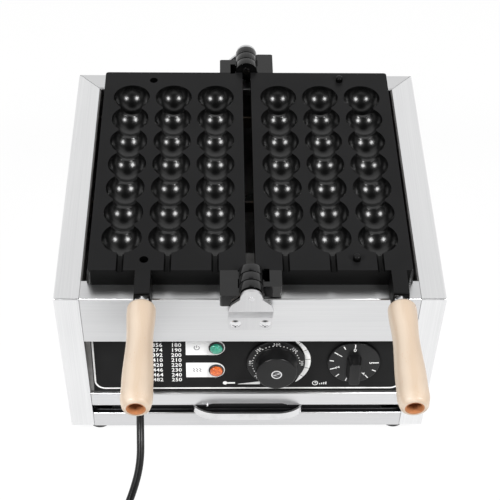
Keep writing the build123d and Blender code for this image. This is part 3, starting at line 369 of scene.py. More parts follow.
@dataclass(frozen=True)
class Wire:
    """An output of a node that adds, multiplies and compares like a number."""

    graph: "Graph"
    socket: bpy.types.NodeSocket

    def reckon(self, operation: str, *others: Number) -> "Wire":
        """Work out a Math node's operation on this output and the others.

        Args:
            operation: the Math node's name for it.
            others: further outputs or plain numbers.

        Returns:
            The node's output.
        """
        inputs = dict(enumerate((self, *others)))
        return self.graph.node("ShaderNodeMath", {"operation": operation}, inputs)

    def __add__(self, other: Number) -> "Wire":
        """The sum."""
        return self.reckon("ADD", other)

    __radd__ = __add__

    def __sub__(self, other: Number) -> "Wire":
        """The difference."""
        return self.reckon("SUBTRACT", other)

    def __rsub__(self, other: float) -> "Wire":
        """A plain number less this output."""
        return self * -1.0 + other

    def __mul__(self, other: Number) -> "Wire":
        """The product."""
        return self.reckon("MULTIPLY", other)

    __rmul__ = __mul__

    def __pow__(self, other: Number) -> "Wire":
        """The power."""
        return self.reckon("POWER", other)

    def __abs__(self) -> "Wire":
        """The size without its sign."""
        return self.reckon("ABSOLUTE")

    def __gt__(self, other: Number) -> "Wire":
        """One where this output is greater, else nothing."""
        return self.reckon("GREATER_THAN", other)

    def __lt__(self, other: Number) -> "Wire":
        """One where this output is less, else nothing."""
        return self.reckon("LESS_THAN", other)

    def span(self, low: float, high: float, start: float = 0.0, end: float = 1.0) -> "Wire":
        """Ease from start to end as this output goes from low to high, and stay there outside.

        Args:
            low: where the change begins.
            high: where it is done.
            start: the value up to low.
            end: the value from high.

        Returns:
            The eased output.
        """
        inputs = {0: self, 1: low, 2: high, 3: start, 4: end}
        return self.graph.node("ShaderNodeMapRange", {"interpolation_type": "SMOOTHSTEP"}, inputs)

    def part(self, axis: int) -> "Wire":
        """One of a vector's three numbers."""
        return self.graph.node("ShaderNodeSeparateXYZ", {}, {0: self}, axis)


@dataclass(frozen=True)
class Graph:
    """A material's or world's tree, and the one way to put nodes in it."""

    tree: bpy.types.NodeTree

    def node(self, kind: str, options: Mapping[str, object] | None = None,
             inputs: Mapping[int | str, object] | None = None, output: int | str = 0) -> Wire:
        """Make any node, set it up and wire it.

        Args:
            kind: the node's type name.
            options: the node's own settings.
            inputs: what each input gets, a wire or a plain value, by its place or name.
            output: which output to hand back, by its place or name.

        Returns:
            That output.
        """
        made = self.tree.nodes.new(kind)
        for name, value in (options or {}).items():
            setattr(made, name, value)
        for key, value in (inputs or {}).items():
            if isinstance(value, Wire):
                self.tree.links.new(value.socket, made.inputs[key])
            else:
                made.inputs[key].default_value = value
        return Wire(self, made.outputs[output]) if len(made.outputs) else Wire(self, made.inputs[0])

    def here(self) -> Wire:
        """The place on the piece, in metres from the part's origin at rest."""
        return self.node("ShaderNodeTexCoord", output="Object")

    def stretched(self, scale: Colour, middle: Colour = (0.0, 0.0, 0.0)) -> Wire:
        """The place counted from a middle and stretched along each axis.

        Args:
            scale: what each axis is multiplied by.
            middle: the point that becomes the origin.

        Returns:
            The stretched place.
        """
        moved = self.node("ShaderNodeVectorMath", {"operation": "SUBTRACT"}, {0: self.here(), 1: middle})
        return self.node("ShaderNodeVectorMath", {"operation": "MULTIPLY"}, {0: moved, 1: scale})

    def noise(self, place: Wire, detail: float = 2.0, roughness: float = 0.5, scale: float = 1.0) -> Wire:
        """Smooth noise from 0 to 1 over a stretched place.

        Args:
            place: where to read it.
            detail: how many finer layers it has.
            roughness: how strong those are.
            scale: how often it changes over one unit.

        Returns:
            The noise.
        """
        inputs = {"Vector": place, "Scale": scale, "Detail": detail, "Roughness": roughness}
        return self.node("ShaderNodeTexNoise", {}, inputs)

    def blend(self, amount: Number, first: object, second: object) -> Wire:
        """Mix two colours.

        Args:
            amount: 0 for the first, 1 for the second.
            first: a colour or a wire.
            second: a colour or a wire.

        Returns:
            The mixed colour.
        """
        sides = [side if isinstance(side, Wire) else (*side, 1.0) for side in (first, second)]
        inputs = {0: amount, 6: sides[0], 7: sides[1]}
        return self.node("ShaderNodeMix", {"data_type": "RGBA"}, inputs, 2)

    def relief(self, height: Wire, strength: float, depth: float) -> Wire:
        """A normal that follows a height over the surface.

        Args:
            height: the height, from 0 to 1.
            strength: how much of it shows.
            depth: what a height of 1 is, in metres.

        Returns:
            The normal.
        """
        return self.node("ShaderNodeBump", {}, {"Strength": strength, "Distance": depth, "Height": height})

    def surface(self, **sockets: object) -> Wire:
        """The main shader, its sockets given by name with underscores for spaces."""
        inputs = {}
        for name, value in sockets.items():
            colour = name in ("Base_Color", "Emission_Color") and not isinstance(value, Wire)
            inputs[name.replace("_", " ")] = (*value, 1.0) if colour else value
        return self.node("ShaderNodeBsdfPrincipled", {}, inputs)

    def show(self, shader: Wire, kind: str = "ShaderNodeOutputMaterial") -> None:
        """Wire a shader to the tree's output."""
        self.node(kind, {}, {"Surface": shader})


# Finishes


@dataclass(frozen=True)
class Finish:
    """What a piece is made of. Each kind paints its own tree, once for each label."""

    label: str

    def material(self) -> bpy.types.Material:
        """The finish's material, made when first asked for."""
        known = bpy.data.materials.get(self.label)
        if known is not None:
            return known
        made = bpy.data.materials.new(self.label)
        made.use_nodes = True
        made.node_tree.nodes.clear()
        graph = Graph(made.node_tree)
        graph.show(self.paint(graph))
        return made

    def paint(self, graph: Graph) -> Wire:
        """Work out the shader in the material's tree."""
        raise NotImplementedError


class Grain(Enum):
    """Which way a sheet was brushed, as how slowly the marks change along each axis."""

    ALONG_X = (0.004, 1.0, 1.0)
    ALONG_Y = (1.0, 0.004, 1.0)
    ALONG_Z = (1.0, 1.0, 0.004)


@dataclass(frozen=True)
class BrushedSteel(Finish):
    """Stainless sheet with fine brushing; faces square to the grain are brushed the other way, and the sheet
    behind a recess line is painted dark as shade.
    """

    grain: Grain = Grain.ALONG_X
    ends: Grain = Grain.ALONG_Z
    pale: Colour = (0.80, 0.802, 0.806)
    dark: Colour = (0.70, 0.703, 0.71)
    roughness: float = 0.30
    # Behind the recess line along Y the colour is painted with a dark shade tone.
    recess: float = 1.0
    recess_tone: Colour = (0.035, 0.035, 0.037)

    def paint(self, graph: Graph) -> Wire:
        """Noise stretched 250 times along the grain over slow bands, and painted shade behind a recess."""
        across = list(Grain).index(self.grain)
        facing = abs(graph.node("ShaderNodeTexCoord", output="Normal").part(across)) > 0.7
        main = graph.stretched(self.grain.value)
        other = graph.stretched(self.ends.value)
        place = graph.node("ShaderNodeMix", {"data_type": "VECTOR"}, {0: facing, 4: main, 5: other}, 1)
        fine = graph.noise(place, detail=2.0, roughness=0.6, scale=2600.0)
        band = graph.noise(place, detail=3.0, roughness=0.55, scale=260.0)
        cloud = graph.noise(graph.here(), detail=2.0, scale=7.0)
        tone = fine * 0.55 + band * 0.20 + cloud * 0.25
        colour = graph.blend(tone.span(0.30, 0.70), self.dark, self.pale)
        # Painted shade: past the recess line the sheet takes the dark shade tone.
        behind = graph.here().part(1).span(self.recess, self.recess + 0.001)
        colour = graph.blend(behind, colour, self.recess_tone)
        rough = fine * 0.09 + cloud * 0.06 + behind * 0.15 + (self.roughness - 0.07)
        normal = graph.relief(fine * 0.7 + band * 0.3, 0.12, 0.00005)
        return graph.surface(Base_Color=colour, Metallic=1.0, Roughness=rough, Normal=normal)


@dataclass(frozen=True)
class InnerSteel(Finish):
    """Dull mill-finish sheet inside the housing, with faint heat tint and cloudy wear."""

    pale: Colour = (0.34, 0.335, 0.33)
    dark: Colour = (0.20, 0.195, 0.19)

    def paint(self, graph: Graph) -> Wire:
        """Clouds and short rolling marks, rough where it is pale."""
        cloud = graph.noise(graph.here(), detail=4.0, roughness=0.6, scale=22.0)
        rolled = graph.noise(graph.stretched((900.0, 30.0, 900.0)), detail=2.0)
        colour = graph.blend(cloud.span(0.35, 0.7), self.dark, self.pale)
        normal = graph.relief(rolled, 0.15, 0.0001)
        return graph.surface(Base_Color=colour, Metallic=0.85, Roughness=cloud * 0.2 + 0.38, Normal=normal)


@dataclass(frozen=True)
class BrightMetal(Finish):
    """Bright plating on nuts, studs, pins, screws and the tray's pull."""

    tone: Colour = (0.80, 0.80, 0.81)
    roughness: float = 0.16

    def paint(self, graph: Graph) -> Wire:
        """Fine turning marks and light handling smears."""
        mark = graph.noise(graph.here(), detail=3.0, roughness=0.6, scale=900.0)
        smear = graph.noise(graph.here(), detail=2.0, scale=70.0)
        dim = tuple(0.82 * value for value in self.tone)
        colour = graph.blend(smear.span(0.4, 0.75, 0.0, 0.6), self.tone, dim)
        rough = smear * 0.12 + mark * 0.06 + (self.roughness - 0.08)
        normal = graph.relief(mark, 0.08, 0.00005)
        return graph.surface(Base_Color=colour, Metallic=1.0, Roughness=rough, Normal=normal)


@dataclass(frozen=True)
class HeaterTube(Finish):
    """Sheathed heating element, darkened by heat with straw and grey scale."""

    def paint(self, graph: Graph) -> Wire:
        """Two sizes of noise choose between grey-brown scale and straw tint."""
        scale = graph.noise(graph.here(), detail=5.0, roughness=0.65, scale=60.0)
        grit = graph.noise(graph.here(), detail=3.0, scale=1400.0)
        colour = graph.blend(scale.span(0.42, 0.62), (0.075, 0.062, 0.055), (0.17, 0.13, 0.09))
        normal = graph.relief(grit, 0.3, 0.00015)
        return graph.surface(Base_Color=colour, Metallic=0.55, Roughness=scale * 0.2 + 0.42, Normal=normal)


@dataclass(frozen=True)
class CoatedCasting(Finish):
    """Black non-stick coating: satin with a fine grain on the flats, a deep gloss in the cavities, upper
    faces painted paler as lit and the other faces and the cavities painted dark as shade.
    """

    parting: float = 0.2367
    plate_middle: float = 0.07825
    cavity_half: float = 0.0655
    cavity_front: float = -0.1223
    # Painted light: top is the lit tone given to upward faces, side the painted shade tone of other faces and
    # the cavities.
    top: Colour = (0.0095, 0.0095, 0.0098)
    side: Colour = (0.0010, 0.0010, 0.0010)
    roughness: float = 0.36

    def paint(self, graph: Graph) -> Wire:
        """A gloss coat in the cavities, below the parting face within their field, and painted light: upper
        faces paler, other faces and the cavities in painted shade.
        """
        height = graph.here().part(2)
        deep = height.span(self.parting - 0.0012, self.parting - 0.0002, 1.0, 0.0)
        within = abs(abs(graph.here().part(0)) - self.plate_middle) < self.cavity_half
        glossy = deep * within * (graph.here().part(1) > self.cavity_front)
        upward = graph.node("ShaderNodeTexCoord", output="Normal").part(2).span(0.6, 0.95)
        grain = graph.noise(graph.here(), detail=3.0, roughness=0.65, scale=2400.0)
        cloud = graph.noise(graph.here(), detail=3.0, scale=16.0)
        # Painted light and shade: upward faces outside the cavities take the lit top tone, the rest the shade
        # tone.
        flat = graph.blend(upward * (1.0 - deep), self.side, self.top)
        colour = graph.blend(cloud.span(0.3, 0.7, 0.0, 0.22), flat, self.side)
        rough = grain * 0.06 + cloud * 0.05 + (self.roughness - 0.055)
        normal = graph.relief(grain * (1.0 - deep * 0.9), 0.22, 0.00010)
        return graph.surface(Base_Color=colour, Roughness=rough, Specular_IOR_Level=0.11, Normal=normal,
                             Coat_Weight=glossy, Coat_Roughness=0.22, Coat_IOR=1.42)


@dataclass(frozen=True)
class Beech(Finish):
    """Clear-lacquered steamed beech, its grain along Y, with the short brown flecks of the rays."""

    axis_x: float = 0.0
    axis_z: float = 0.0
    bore: float = 8.4 * MM
    pale: Colour = (0.565, 0.466, 0.37)
    warm: Colour = (0.50, 0.39, 0.292)
    cut: Colour = (0.36, 0.125, 0.032)

    def paint(self, graph: Graph) -> Wire:
        """Rings about a pith beside the grip, fibres along it, flecks in fine cells, a dark bore."""
        middle = (self.axis_x, 0.0, self.axis_z)
        place = graph.stretched((1.0, 1.0, 1.0), middle)
        x, z = place.part(0), place.part(2)
        drift = graph.noise(graph.stretched((26.0, 5.0, 26.0), middle), detail=2.0)
        pith = ((x + 0.021) ** 2.0 + (z + 0.034) ** 2.0) ** 0.5
        ring = (pith * 560.0 + drift * 7.0).reckon("SINE") * 0.5 + 0.5
        fibre = graph.noise(graph.stretched((1500.0, 34.0, 1500.0), middle), detail=3.0, roughness=0.6)
        cell = {"Vector": graph.stretched((620.0, 150.0, 620.0), middle), "Scale": 1.0}
        fleck = graph.node("ShaderNodeTexVoronoi", {"feature": "F1"}, cell).span(0.10, 0.24, 1.0, 0.0)
        sparse = graph.noise(graph.stretched((120.0, 40.0, 120.0), middle), detail=1.0).span(0.50, 0.62)
        tone = ring * 0.34 + fibre * 0.34 + drift * 0.32
        wood = graph.blend(tone.span(0.30, 0.74), self.pale, self.warm)
        wood = graph.blend(fleck * sparse * 0.42, wood, (0.50, 0.28, 0.14))
        radius = (x**2.0 + z**2.0) ** 0.5
        inside = radius.span(self.bore, self.bore + 0.0004, 1.0, 0.0)
        colour = graph.blend(inside * 0.95, wood, self.cut)
        rough = fibre * 0.14 + inside * 0.3 + 0.34
        normal = graph.relief(fibre * 0.7 + fleck * 0.3, 0.12, 0.00012)
        return graph.surface(Base_Color=colour, Roughness=rough, Normal=normal, Coat_Weight=0.12,
                             Coat_Roughness=0.3)


@dataclass(frozen=True)
class Moulded(Finish):
    """Moulded plastic, rubber or ceramic with the fine spark grain of its mould."""

    dark: Colour = (0.012, 0.012, 0.0125)
    pale: Colour = (0.020, 0.020, 0.021)
    roughness: float = 0.36
    grain: float = 1900.0
    depth: float = 0.00010
    coat: float = 0.0
    mirror: float = 0.5

    def paint(self, graph: Graph) -> Wire:
        """Spark grain over slow clouds of dust and handling."""
        spark = graph.noise(graph.here(), detail=3.0, roughness=0.6, scale=self.grain)
        cloud = graph.noise(graph.here(), detail=2.0, scale=38.0)
        colour = graph.blend((spark * 0.4 + cloud * 0.6).span(0.32, 0.68), self.dark, self.pale)
        rough = cloud * 0.10 + spark * 0.06 + (self.roughness - 0.08)
        normal = graph.relief(spark, 0.22, self.depth)
        return graph.surface(Base_Color=colour, Roughness=rough, Normal=normal, Coat_Weight=self.coat,
                             Coat_Roughness=0.12, Specular_IOR_Level=self.mirror)


@dataclass(frozen=True)
class RingedScrew(Finish):
    """Bright ring about a duller screw with a pale slot, told apart by the distance from the dial's axis."""

    centre: Colour = (0.0276, -0.1768, 0.1125)
    ring: float = 0.0043
    turn: float = 28.0

    def paint(self, graph: Graph) -> Wire:
        """The slot is a narrow band through the middle, turned with the screw."""
        place = graph.stretched((1.0, 1.0, 1.0), self.centre)
        x, z = place.part(0), place.part(2) * 1.0154
        radius = (x**2.0 + z**2.0) ** 0.5
        sine, cosine = math.sin(math.radians(self.turn)), math.cos(math.radians(self.turn))
        slot = abs(z * cosine - x * sine).span(0.0005, 0.0008, 1.0, 0.0) * (radius < self.ring)
        wear = graph.noise(graph.here(), detail=3.0, scale=1100.0)
        bright = graph.blend(wear.span(0.35, 0.65), (0.80, 0.80, 0.81), (0.70, 0.70, 0.71))
        within = radius.span(self.ring - 0.0002, self.ring, 1.0, 0.0)
        colour = graph.blend(within, bright, (0.16, 0.16, 0.165))
        colour = graph.blend(slot, colour, (0.6, 0.6, 0.61))
        return graph.surface(Base_Color=colour, Metallic=1.0, Roughness=wear * 0.1 + 0.15)


@dataclass(frozen=True)
class PrintedInk(Finish):
    """Screen-printed ink, a little uneven in its cover."""

    tone: Colour = (0.84, 0.84, 0.83)
    thin: Colour = (0.68, 0.68, 0.68)

    def paint(self, graph: Graph) -> Wire:
        """Cover wavers with a fine noise and a slow one."""
        cover = graph.noise(graph.here(), detail=3.0, scale=1500.0) * 0.5
        cover = cover + graph.noise(graph.here(), detail=2.0, scale=160.0) * 0.5
        colour = graph.blend(cover.span(0.34, 0.5), self.thin, self.tone)
        return graph.surface(Base_Color=colour, Roughness=cover * 0.2 + 0.4)


@dataclass(frozen=True)
class LampGlass(Finish):
    """Coloured clear lens over its ribbed back: cells of bright and deep colour under a glossy face as
    painted sparkle of the ribs, with a faint painted glow.
    """

    bright: Colour = (0.05, 0.5, 0.33)
    deep: Colour = (0.004, 0.10, 0.06)

    def paint(self, graph: Graph) -> Wire:
        """Each small cell takes its own share of the bright colour, a painted sparkle darkened at the cell
        edges.
        """
        cells = {"Vector": graph.here(), "Scale": 520.0}
        cell = graph.node("ShaderNodeTexVoronoi", {"feature": "F1"}, cells, "Color").part(0)
        edge = graph.node("ShaderNodeTexVoronoi", {"feature": "DISTANCE_TO_EDGE"}, cells).span(0.0, 0.18)
        # Painted sparkle: bright and dark cells stand in for light caught by the ribbed back.
        colour = graph.blend((cell * 0.75 + 0.25) * (edge * 0.6 + 0.4), self.deep, self.bright)
        rough = cell * 0.1 + 0.1
        # Painted glow: a faint emission of the bright colour, though the lamp is not lit.
        return graph.surface(Base_Color=colour, Roughness=rough, Coat_Weight=0.8, Coat_Roughness=0.05,
                             Emission_Color=self.bright, Emission_Strength=0.08)


# Painted light: these copies of one stainless sheet differ in tone to match how bright each part looked; the
# back-brushed copy on the side panels, whose deck strips face up to the light, is painted palest, and the
# across and tray copies darker.
STEEL_X = BrushedSteel("steel_brushed_across", pale=(0.74, 0.742, 0.746), dark=(0.66, 0.663, 0.67))
STEEL_Y = BrushedSteel("steel_brushed_back", grain=Grain.ALONG_Y, pale=(0.87, 0.872, 0.876),
                       dark=(0.77, 0.773, 0.78))
STEEL_Z = BrushedSteel("steel_brushed_up", grain=Grain.ALONG_Z, ends=Grain.ALONG_X, pale=(0.70, 0.70, 0.705),
                       dark=(0.64, 0.64, 0.65), roughness=0.34)
# The tray copy is painted with dark shade behind y -0.1632, on its recessed upstand.
STEEL_TRAY = BrushedSteel("steel_brushed_tray", pale=(0.70, 0.70, 0.705), dark=(0.62, 0.62, 0.63),
                          recess=-0.1632)
INNER = InnerSteel("steel_inside")
BRIGHT = BrightMetal("bright_plating")
PULL = BrightMetal("polished_pull", tone=(0.76, 0.76, 0.765), roughness=0.12)
SCREW = BrightMetal("screw_plating", tone=(0.80, 0.80, 0.81), roughness=0.09)
HEATER = HeaterTube("heater_sheath")
CASTING = CoatedCasting("nonstick_casting")
LUGS = Moulded("glossy_lugs", dark=(0.001, 0.001, 0.001), pale=(0.003, 0.003, 0.0031), roughness=0.15,
               grain=900.0, depth=0.00005, mirror=0.5)
DIAL = Moulded("dial_plastic", dark=(0.005, 0.005, 0.0052), pale=(0.009, 0.009, 0.0093), roughness=0.30,
               grain=1500.0, mirror=0.3)
FILM = Moulded("panel_film_black", dark=(0.006, 0.006, 0.0062), pale=(0.009, 0.009, 0.0092), roughness=0.42,
               grain=3200.0, depth=0.00004, mirror=0.12)
LABEL = PrintedInk("label_film", tone=(0.80, 0.80, 0.80), thin=(0.74, 0.74, 0.745))
INK = PrintedInk("white_ink")
GREY_INK = PrintedInk("grey_ink", tone=(0.10, 0.10, 0.105), thin=(0.17, 0.17, 0.175))
GREEN = LampGlass("green_lens_glass")
AMBER = LampGlass("amber_lens_glass", bright=(0.85, 0.17, 0.02), deep=(0.28, 0.035, 0.004))
DIAL_SCREW = RingedScrew("ringed_screw")
DARK = Moulded("dark_moulding", dark=(0.02, 0.02, 0.021), pale=(0.035, 0.035, 0.036), roughness=0.5)
PORCELAIN = Moulded("glazed_porcelain", dark=(0.66, 0.63, 0.56), pale=(0.76, 0.73, 0.66), roughness=0.3,
                    grain=500.0, coat=0.5)
RUBBER = Moulded("soft_rubber", dark=(0.010, 0.010, 0.010), pale=(0.022, 0.022, 0.022), roughness=0.62,
                 grain=1200.0, depth=0.00018)
SHEATH = Moulded("cord_sheath", dark=(0.004, 0.004, 0.0042), pale=(0.007, 0.007, 0.0073), roughness=0.34,
                 grain=900.0, depth=0.00008, mirror=0.3)
STRAP = Moulded("tie_strap", dark=(0.012, 0.012, 0.012), pale=(0.028, 0.028, 0.028), roughness=0.8,
                grain=2600.0, depth=0.0004)


NODE_FINISHES: dict[Finish, tuple[str, ...]] = {
    STEEL_Y: ("side_panel_left", "side_panel_right"),
    STEEL_X: ("rear_panel", "front_apron", "front_rail", "base_plate"),
    STEEL_TRAY: ("tray_front",),
    STEEL_Z: ("hinge_bracket_front", "hinge_bracket_rear"),
    INNER: ("chamber_liner_left", "chamber_liner_right", "chamber_liner_rear", "control_box", "tray_runners",
            "control_panel", "crumb_tray"),
    SCREW: ("bracket_screws",),
    BRIGHT: ("hinge_pins", "rear_screws", "foot_screws", "left_handle_stud",
             "right_handle_stud", "left_handle_nut", "right_handle_nut", "left_handle_end_nut",
             "right_handle_end_nut", "thermostat_shaft", "timer_shaft", "plug_pins"),
    PULL: ("tray_pull",),
    DIAL_SCREW: ("dial_screw",),
    HEATER: ("heater_left", "heater_right", "heater_bars"),
    CASTING: ("left_plate", "right_plate", "guide_pins"),
    LUGS: ("left_hinge_lugs", "right_hinge_lugs"),
    DIAL: ("thermostat_dial", "timer_dial"),
    FILM: ("panel_film",),
    LABEL: ("lamp_labels",),
    DARK: ("lamp_bodies", "thermostat_body", "timer_body"),
    PORCELAIN: ("terminal_block", "heater_terminals"),
    RUBBER: ("feet", "cable_gland", "power_plug"),
}


# Sub-assemblies


@dataclass(frozen=True)
class LeaningPanel:
    """The control panel's own frame in millimetres: across, up its slope from the lower edge, and out."""

    foot_y: float = -160.0
    foot_z: float = 69.1
    lean: float = 10.0

    def place(self, points: np.ndarray) -> np.ndarray:
        """Turn across, up and out into the part's frame: out leans up and forwards, up leans back.

        Args:
            points: across, up and out, in millimetres, one row each.

        Returns:
            The same points in metres.
        """
        sine, cosine = math.sin(math.radians(self.lean)), math.cos(math.radians(self.lean))
        across, up, out = points.T
        y = self.foot_y - out * cosine + up * sine
        z = self.foot_z + out * sine + up * cosine
        return np.stack([across, y, z], -1) * MM

    def stand(self, points: np.ndarray, x: float, up: float, out: float) -> np.ndarray:
        """Stand a turned shape out from the panel: its axis, the first number, leads outwards.

        Args:
            points: along, across and rise in millimetres, one row each.
            x: where the axis is across the panel.
            up: where it is up the panel.
            out: how far out from the panel the shape begins.

        Returns:
            The points in metres in the part's frame.
        """
        along, across, rise = points.T
        return self.place(np.stack([across + x, rise + up, along + out], -1))


@dataclass
class Numerals:
    """Plain numbers for dials and tables, cut as thin plates."""

    ink: float = 0.05
    known: dict[str, Shell] = field(default_factory=dict)

    def sign(self, letter: str) -> Shell:
        """One digit of height 1 about its own middle, from the built-in font.

        Args:
            letter: the digit.

        Returns:
            Its plate: across, up, thickness.
        """
        if letter not in self.known:
            curve = bpy.data.curves.new("digit", "FONT")
            curve.body = letter
            curve.extrude = 0.5
            curve.offset = 0.013
            curve.resolution_u = 3
            holder = linked("digit", curve)
            bpy.context.view_layer.update()
            mesh = bpy.data.meshes.new_from_object(holder)
            points = np.empty(len(mesh.vertices) * 3)
            mesh.vertices.foreach_get("co", points)
            points = points.reshape(-1, 3)
            faces = [np.array([list(face.vertices)]) for face in mesh.polygons]
            bpy.data.objects.remove(holder)
            bpy.data.curves.remove(curve)
            bpy.data.meshes.remove(mesh)
            low, high = points.min(0), points.max(0)
            points = (points - (low + high) / 2) / np.array([high[1] - low[1], high[1] - low[1], 1.0])
            points[:, 2] = (points[:, 2] + 0.5) * self.ink
            self.known[letter] = Shell(points, faces)
        return self.known[letter]

    def number(self, text: str, height: float, middle: Sequence[float], turn: float = 0.0,
               pitch: float = 0.72) -> Shell:
        """Write a number about a point: digits side by side, the whole turned about its middle.

        Args:
            text: the digits.
            height: their height in millimetres.
            middle: where the number's middle goes.
            turn: how far it is turned anticlockwise, in degrees.
            pitch: the digits' spacing as a share of their height.

        Returns:
            The number as one plate.
        """
        cosine, sine = math.cos(math.radians(turn)), math.sin(math.radians(turn))
        spin = np.array([[cosine, sine, 0.0], [-sine, cosine, 0.0], [0.0, 0.0, 1.0]])
        shift = np.array([middle[0], middle[1], 0.0])
        size = np.array([height, height, 1.0])
        digits = []
        for i, letter in enumerate(text):
            step = np.array([(i - (len(text) - 1) / 2) * pitch * height, 0.0, 0.0])
            digits.append(self.sign(letter).through(lambda p: (p * size + step) @ spin + shift))
        return joined(digits)


@dataclass
class PanelPrint:
    """White marks on the black film: outline, two columns of numbers, the heat crescent, small signs."""

    panel: LeaningPanel
    numerals: Numerals
    film_out: float = 0.5
    label_out: float = 0.9
    ink: float = 0.05
    outline_half: float = 155.4
    outline_low: float = 4.2
    outline_high: float = 82.6
    outline_corner: float = 10.0
    outline_width: float = 1.7
    rows: int = 10
    row_top: float = 76.5
    row_pitch: float = 6.71
    digit_height: float = 4.8
    columns: tuple[float, float] = (-91.4, -72.5)
    crescent_middle: tuple[float, float] = (28.0, 40.7)
    crescent_radius: float = 34.7
    label_left: float = -63.0
    label_height: float = 19.6
    label_end: float = -33.7
    rim_inset: float = 0.6
    bulb: tuple[float, float] = (-23.6, 11.3)
    clock: tuple[float, float] = (68.4, 11.0)
    ticks_left: float = 73.2
    tick_pitch: float = 2.1
    tick_foot: float = 9.2
    ring_x: float = -52.0
    waves_x: tuple[float, ...] = (-55.0, -51.8, -48.6)
    wave_half: float = 2.8
    wave_swing: float = 0.7

    def outline(self) -> Shell:
        """The rounded white line about the whole panel: four quarter circles joined by straight runs."""
        corner = self.outline_corner
        low, high = self.outline_low + corner, self.outline_high - corner
        path = rounded(self.outline_half - corner, low, high, corner)
        return stroke(path, self.outline_width, self.ink, closed=True)

    def tables(self) -> Shell:
        """Two columns of plain numbers, the same steps in both scales."""
        made = []
        for row in range(self.rows):
            celsius = 160 + 10 * row
            up = self.row_top - self.row_pitch * row
            for value, x in zip((celsius * 9 // 5 + 32, celsius), self.columns):
                made.append(self.numerals.number(str(value), self.digit_height, (x, up), pitch=0.74))
        return joined(made)

    def crescent(self) -> Shell:
        """The white wedge beside the thermostat in short lengths, an arc outside and a flatter one inside."""
        angles = np.array([-55.0, -46.0, -36.8, -16.0, 5.0, 27.0, 52.0, 66.0])
        inner = np.array([34.3, 32.0, 30.2, 29.3, 28.9, 30.0, 31.7, 34.2])
        cuts = [-54.5, -36.6, -15.8, 5.1, 27.3, 47.0, 65.0]
        middle = np.asarray(self.crescent_middle)
        made = []
        for start, end in zip(cuts, cuts[1:]):
            turn = np.linspace(start + 0.5, end - 0.5, 10)
            unit = compass(np.radians(turn))
            near = middle + unit * np.interp(turn, angles, inner)[:, None]
            made.append(slab(near, middle + unit * self.crescent_radius, self.ink))
        return joined(made)

    def signs(self) -> Shell:
        """A thermometer with a growing wedge under the thermostat, a clock face under the timer."""
        bulb_x, bulb_up = self.bulb
        bulb = discs(np.array([self.bulb]), 2.3, self.ink, 20)
        stem = stroke(np.array([[bulb_x + 1.6, bulb_up], [bulb_x + 10.2, bulb_up]]), 2.0, self.ink)
        wedge = slab(np.array([[-10.6, 9.4], [12.0, 9.4]]), np.array([[-10.6, 9.9], [12.0, 13.4]]), self.ink)
        x, up = self.clock
        face = stroke(arc(self.clock, 2.7, 0, 350, 36), 0.7, self.ink, closed=True)
        hands = [stroke(np.array(line), 0.6, self.ink)
                 for line in (((x, up + 2.0), (x, up)), ((x - 0.3, up), (x + 1.7, up)))]
        ticks = []
        for i in range(4):
            x = self.ticks_left + self.tick_pitch * i
            line = np.array([[x, self.tick_foot], [x, self.tick_foot + 1.4 + 0.75 * i]])
            ticks.append(stroke(line, 0.9, self.ink))
        return joined([bulb, stem, wedge, face, *hands, *ticks])

    def label_rims(self) -> Shell:
        """The bright line round each lamp's label, along its straight edges and its round end."""
        reach = self.label_height / 2 - self.rim_inset
        left = self.label_left + self.rim_inset
        made = []
        for up in LAMP_UPS:
            corners = np.array([[left, up + reach], [left, up - reach]])
            path = np.vstack([corners, arc((self.label_end, up), reach, -90, 90, 25)])
            made.append(stroke(path, 1.0, self.ink, closed=True))
        return joined(made)

    def lamp_signs(self) -> Shell:
        """A ring broken by a bar on the upper label, three rising waves on the lower one."""
        upper, lower = LAMP_UPS
        x = self.ring_x
        made = [stroke(arc((x, upper - 0.2), 2.6, 125, 415, 34), 0.75, self.ink),
                stroke(np.array([[x, upper + 3.2], [x, upper - 0.1]]), 0.75, self.ink)]
        rise = np.linspace(-self.wave_half, self.wave_half, 15)
        for x in self.waves_x:
            wave = np.stack([x + self.wave_swing * np.sin(rise * 2.0), lower + rise], -1)
            made.append(stroke(wave, 0.7, self.ink))
        return joined(made)

    def put(self, shell: Shell, out: float, name: str, finish: Finish, slot: str) -> None:
        """Lay a plate on the panel and have it ride with the housing.

        Args:
            shell: across, up and thickness in millimetres.
            out: how far out from the panel's face it lies.
            name: the piece's name.
            finish: its ink.
            slot: the name of a material slot, handed on to settle and not used there.
        """
        lifted = shell.through(lambda p: self.panel.place(p + np.array([0.0, 0.0, out])))
        settle(lifted.piece(name, finish, crease=20.0), "housing", slot)

    def build(self) -> None:
        """Make the panel's printed pieces."""
        self.put(self.outline() + self.tables() + self.crescent() + self.signs(), self.film_out,
                 "panel_marks", INK, "pale_label")
        self.put(self.label_rims(), self.label_out, "label_rims", INK, "pale_label")
        self.put(self.lamp_signs(), self.label_out, "lamp_signs", GREY_INK, "black_film")


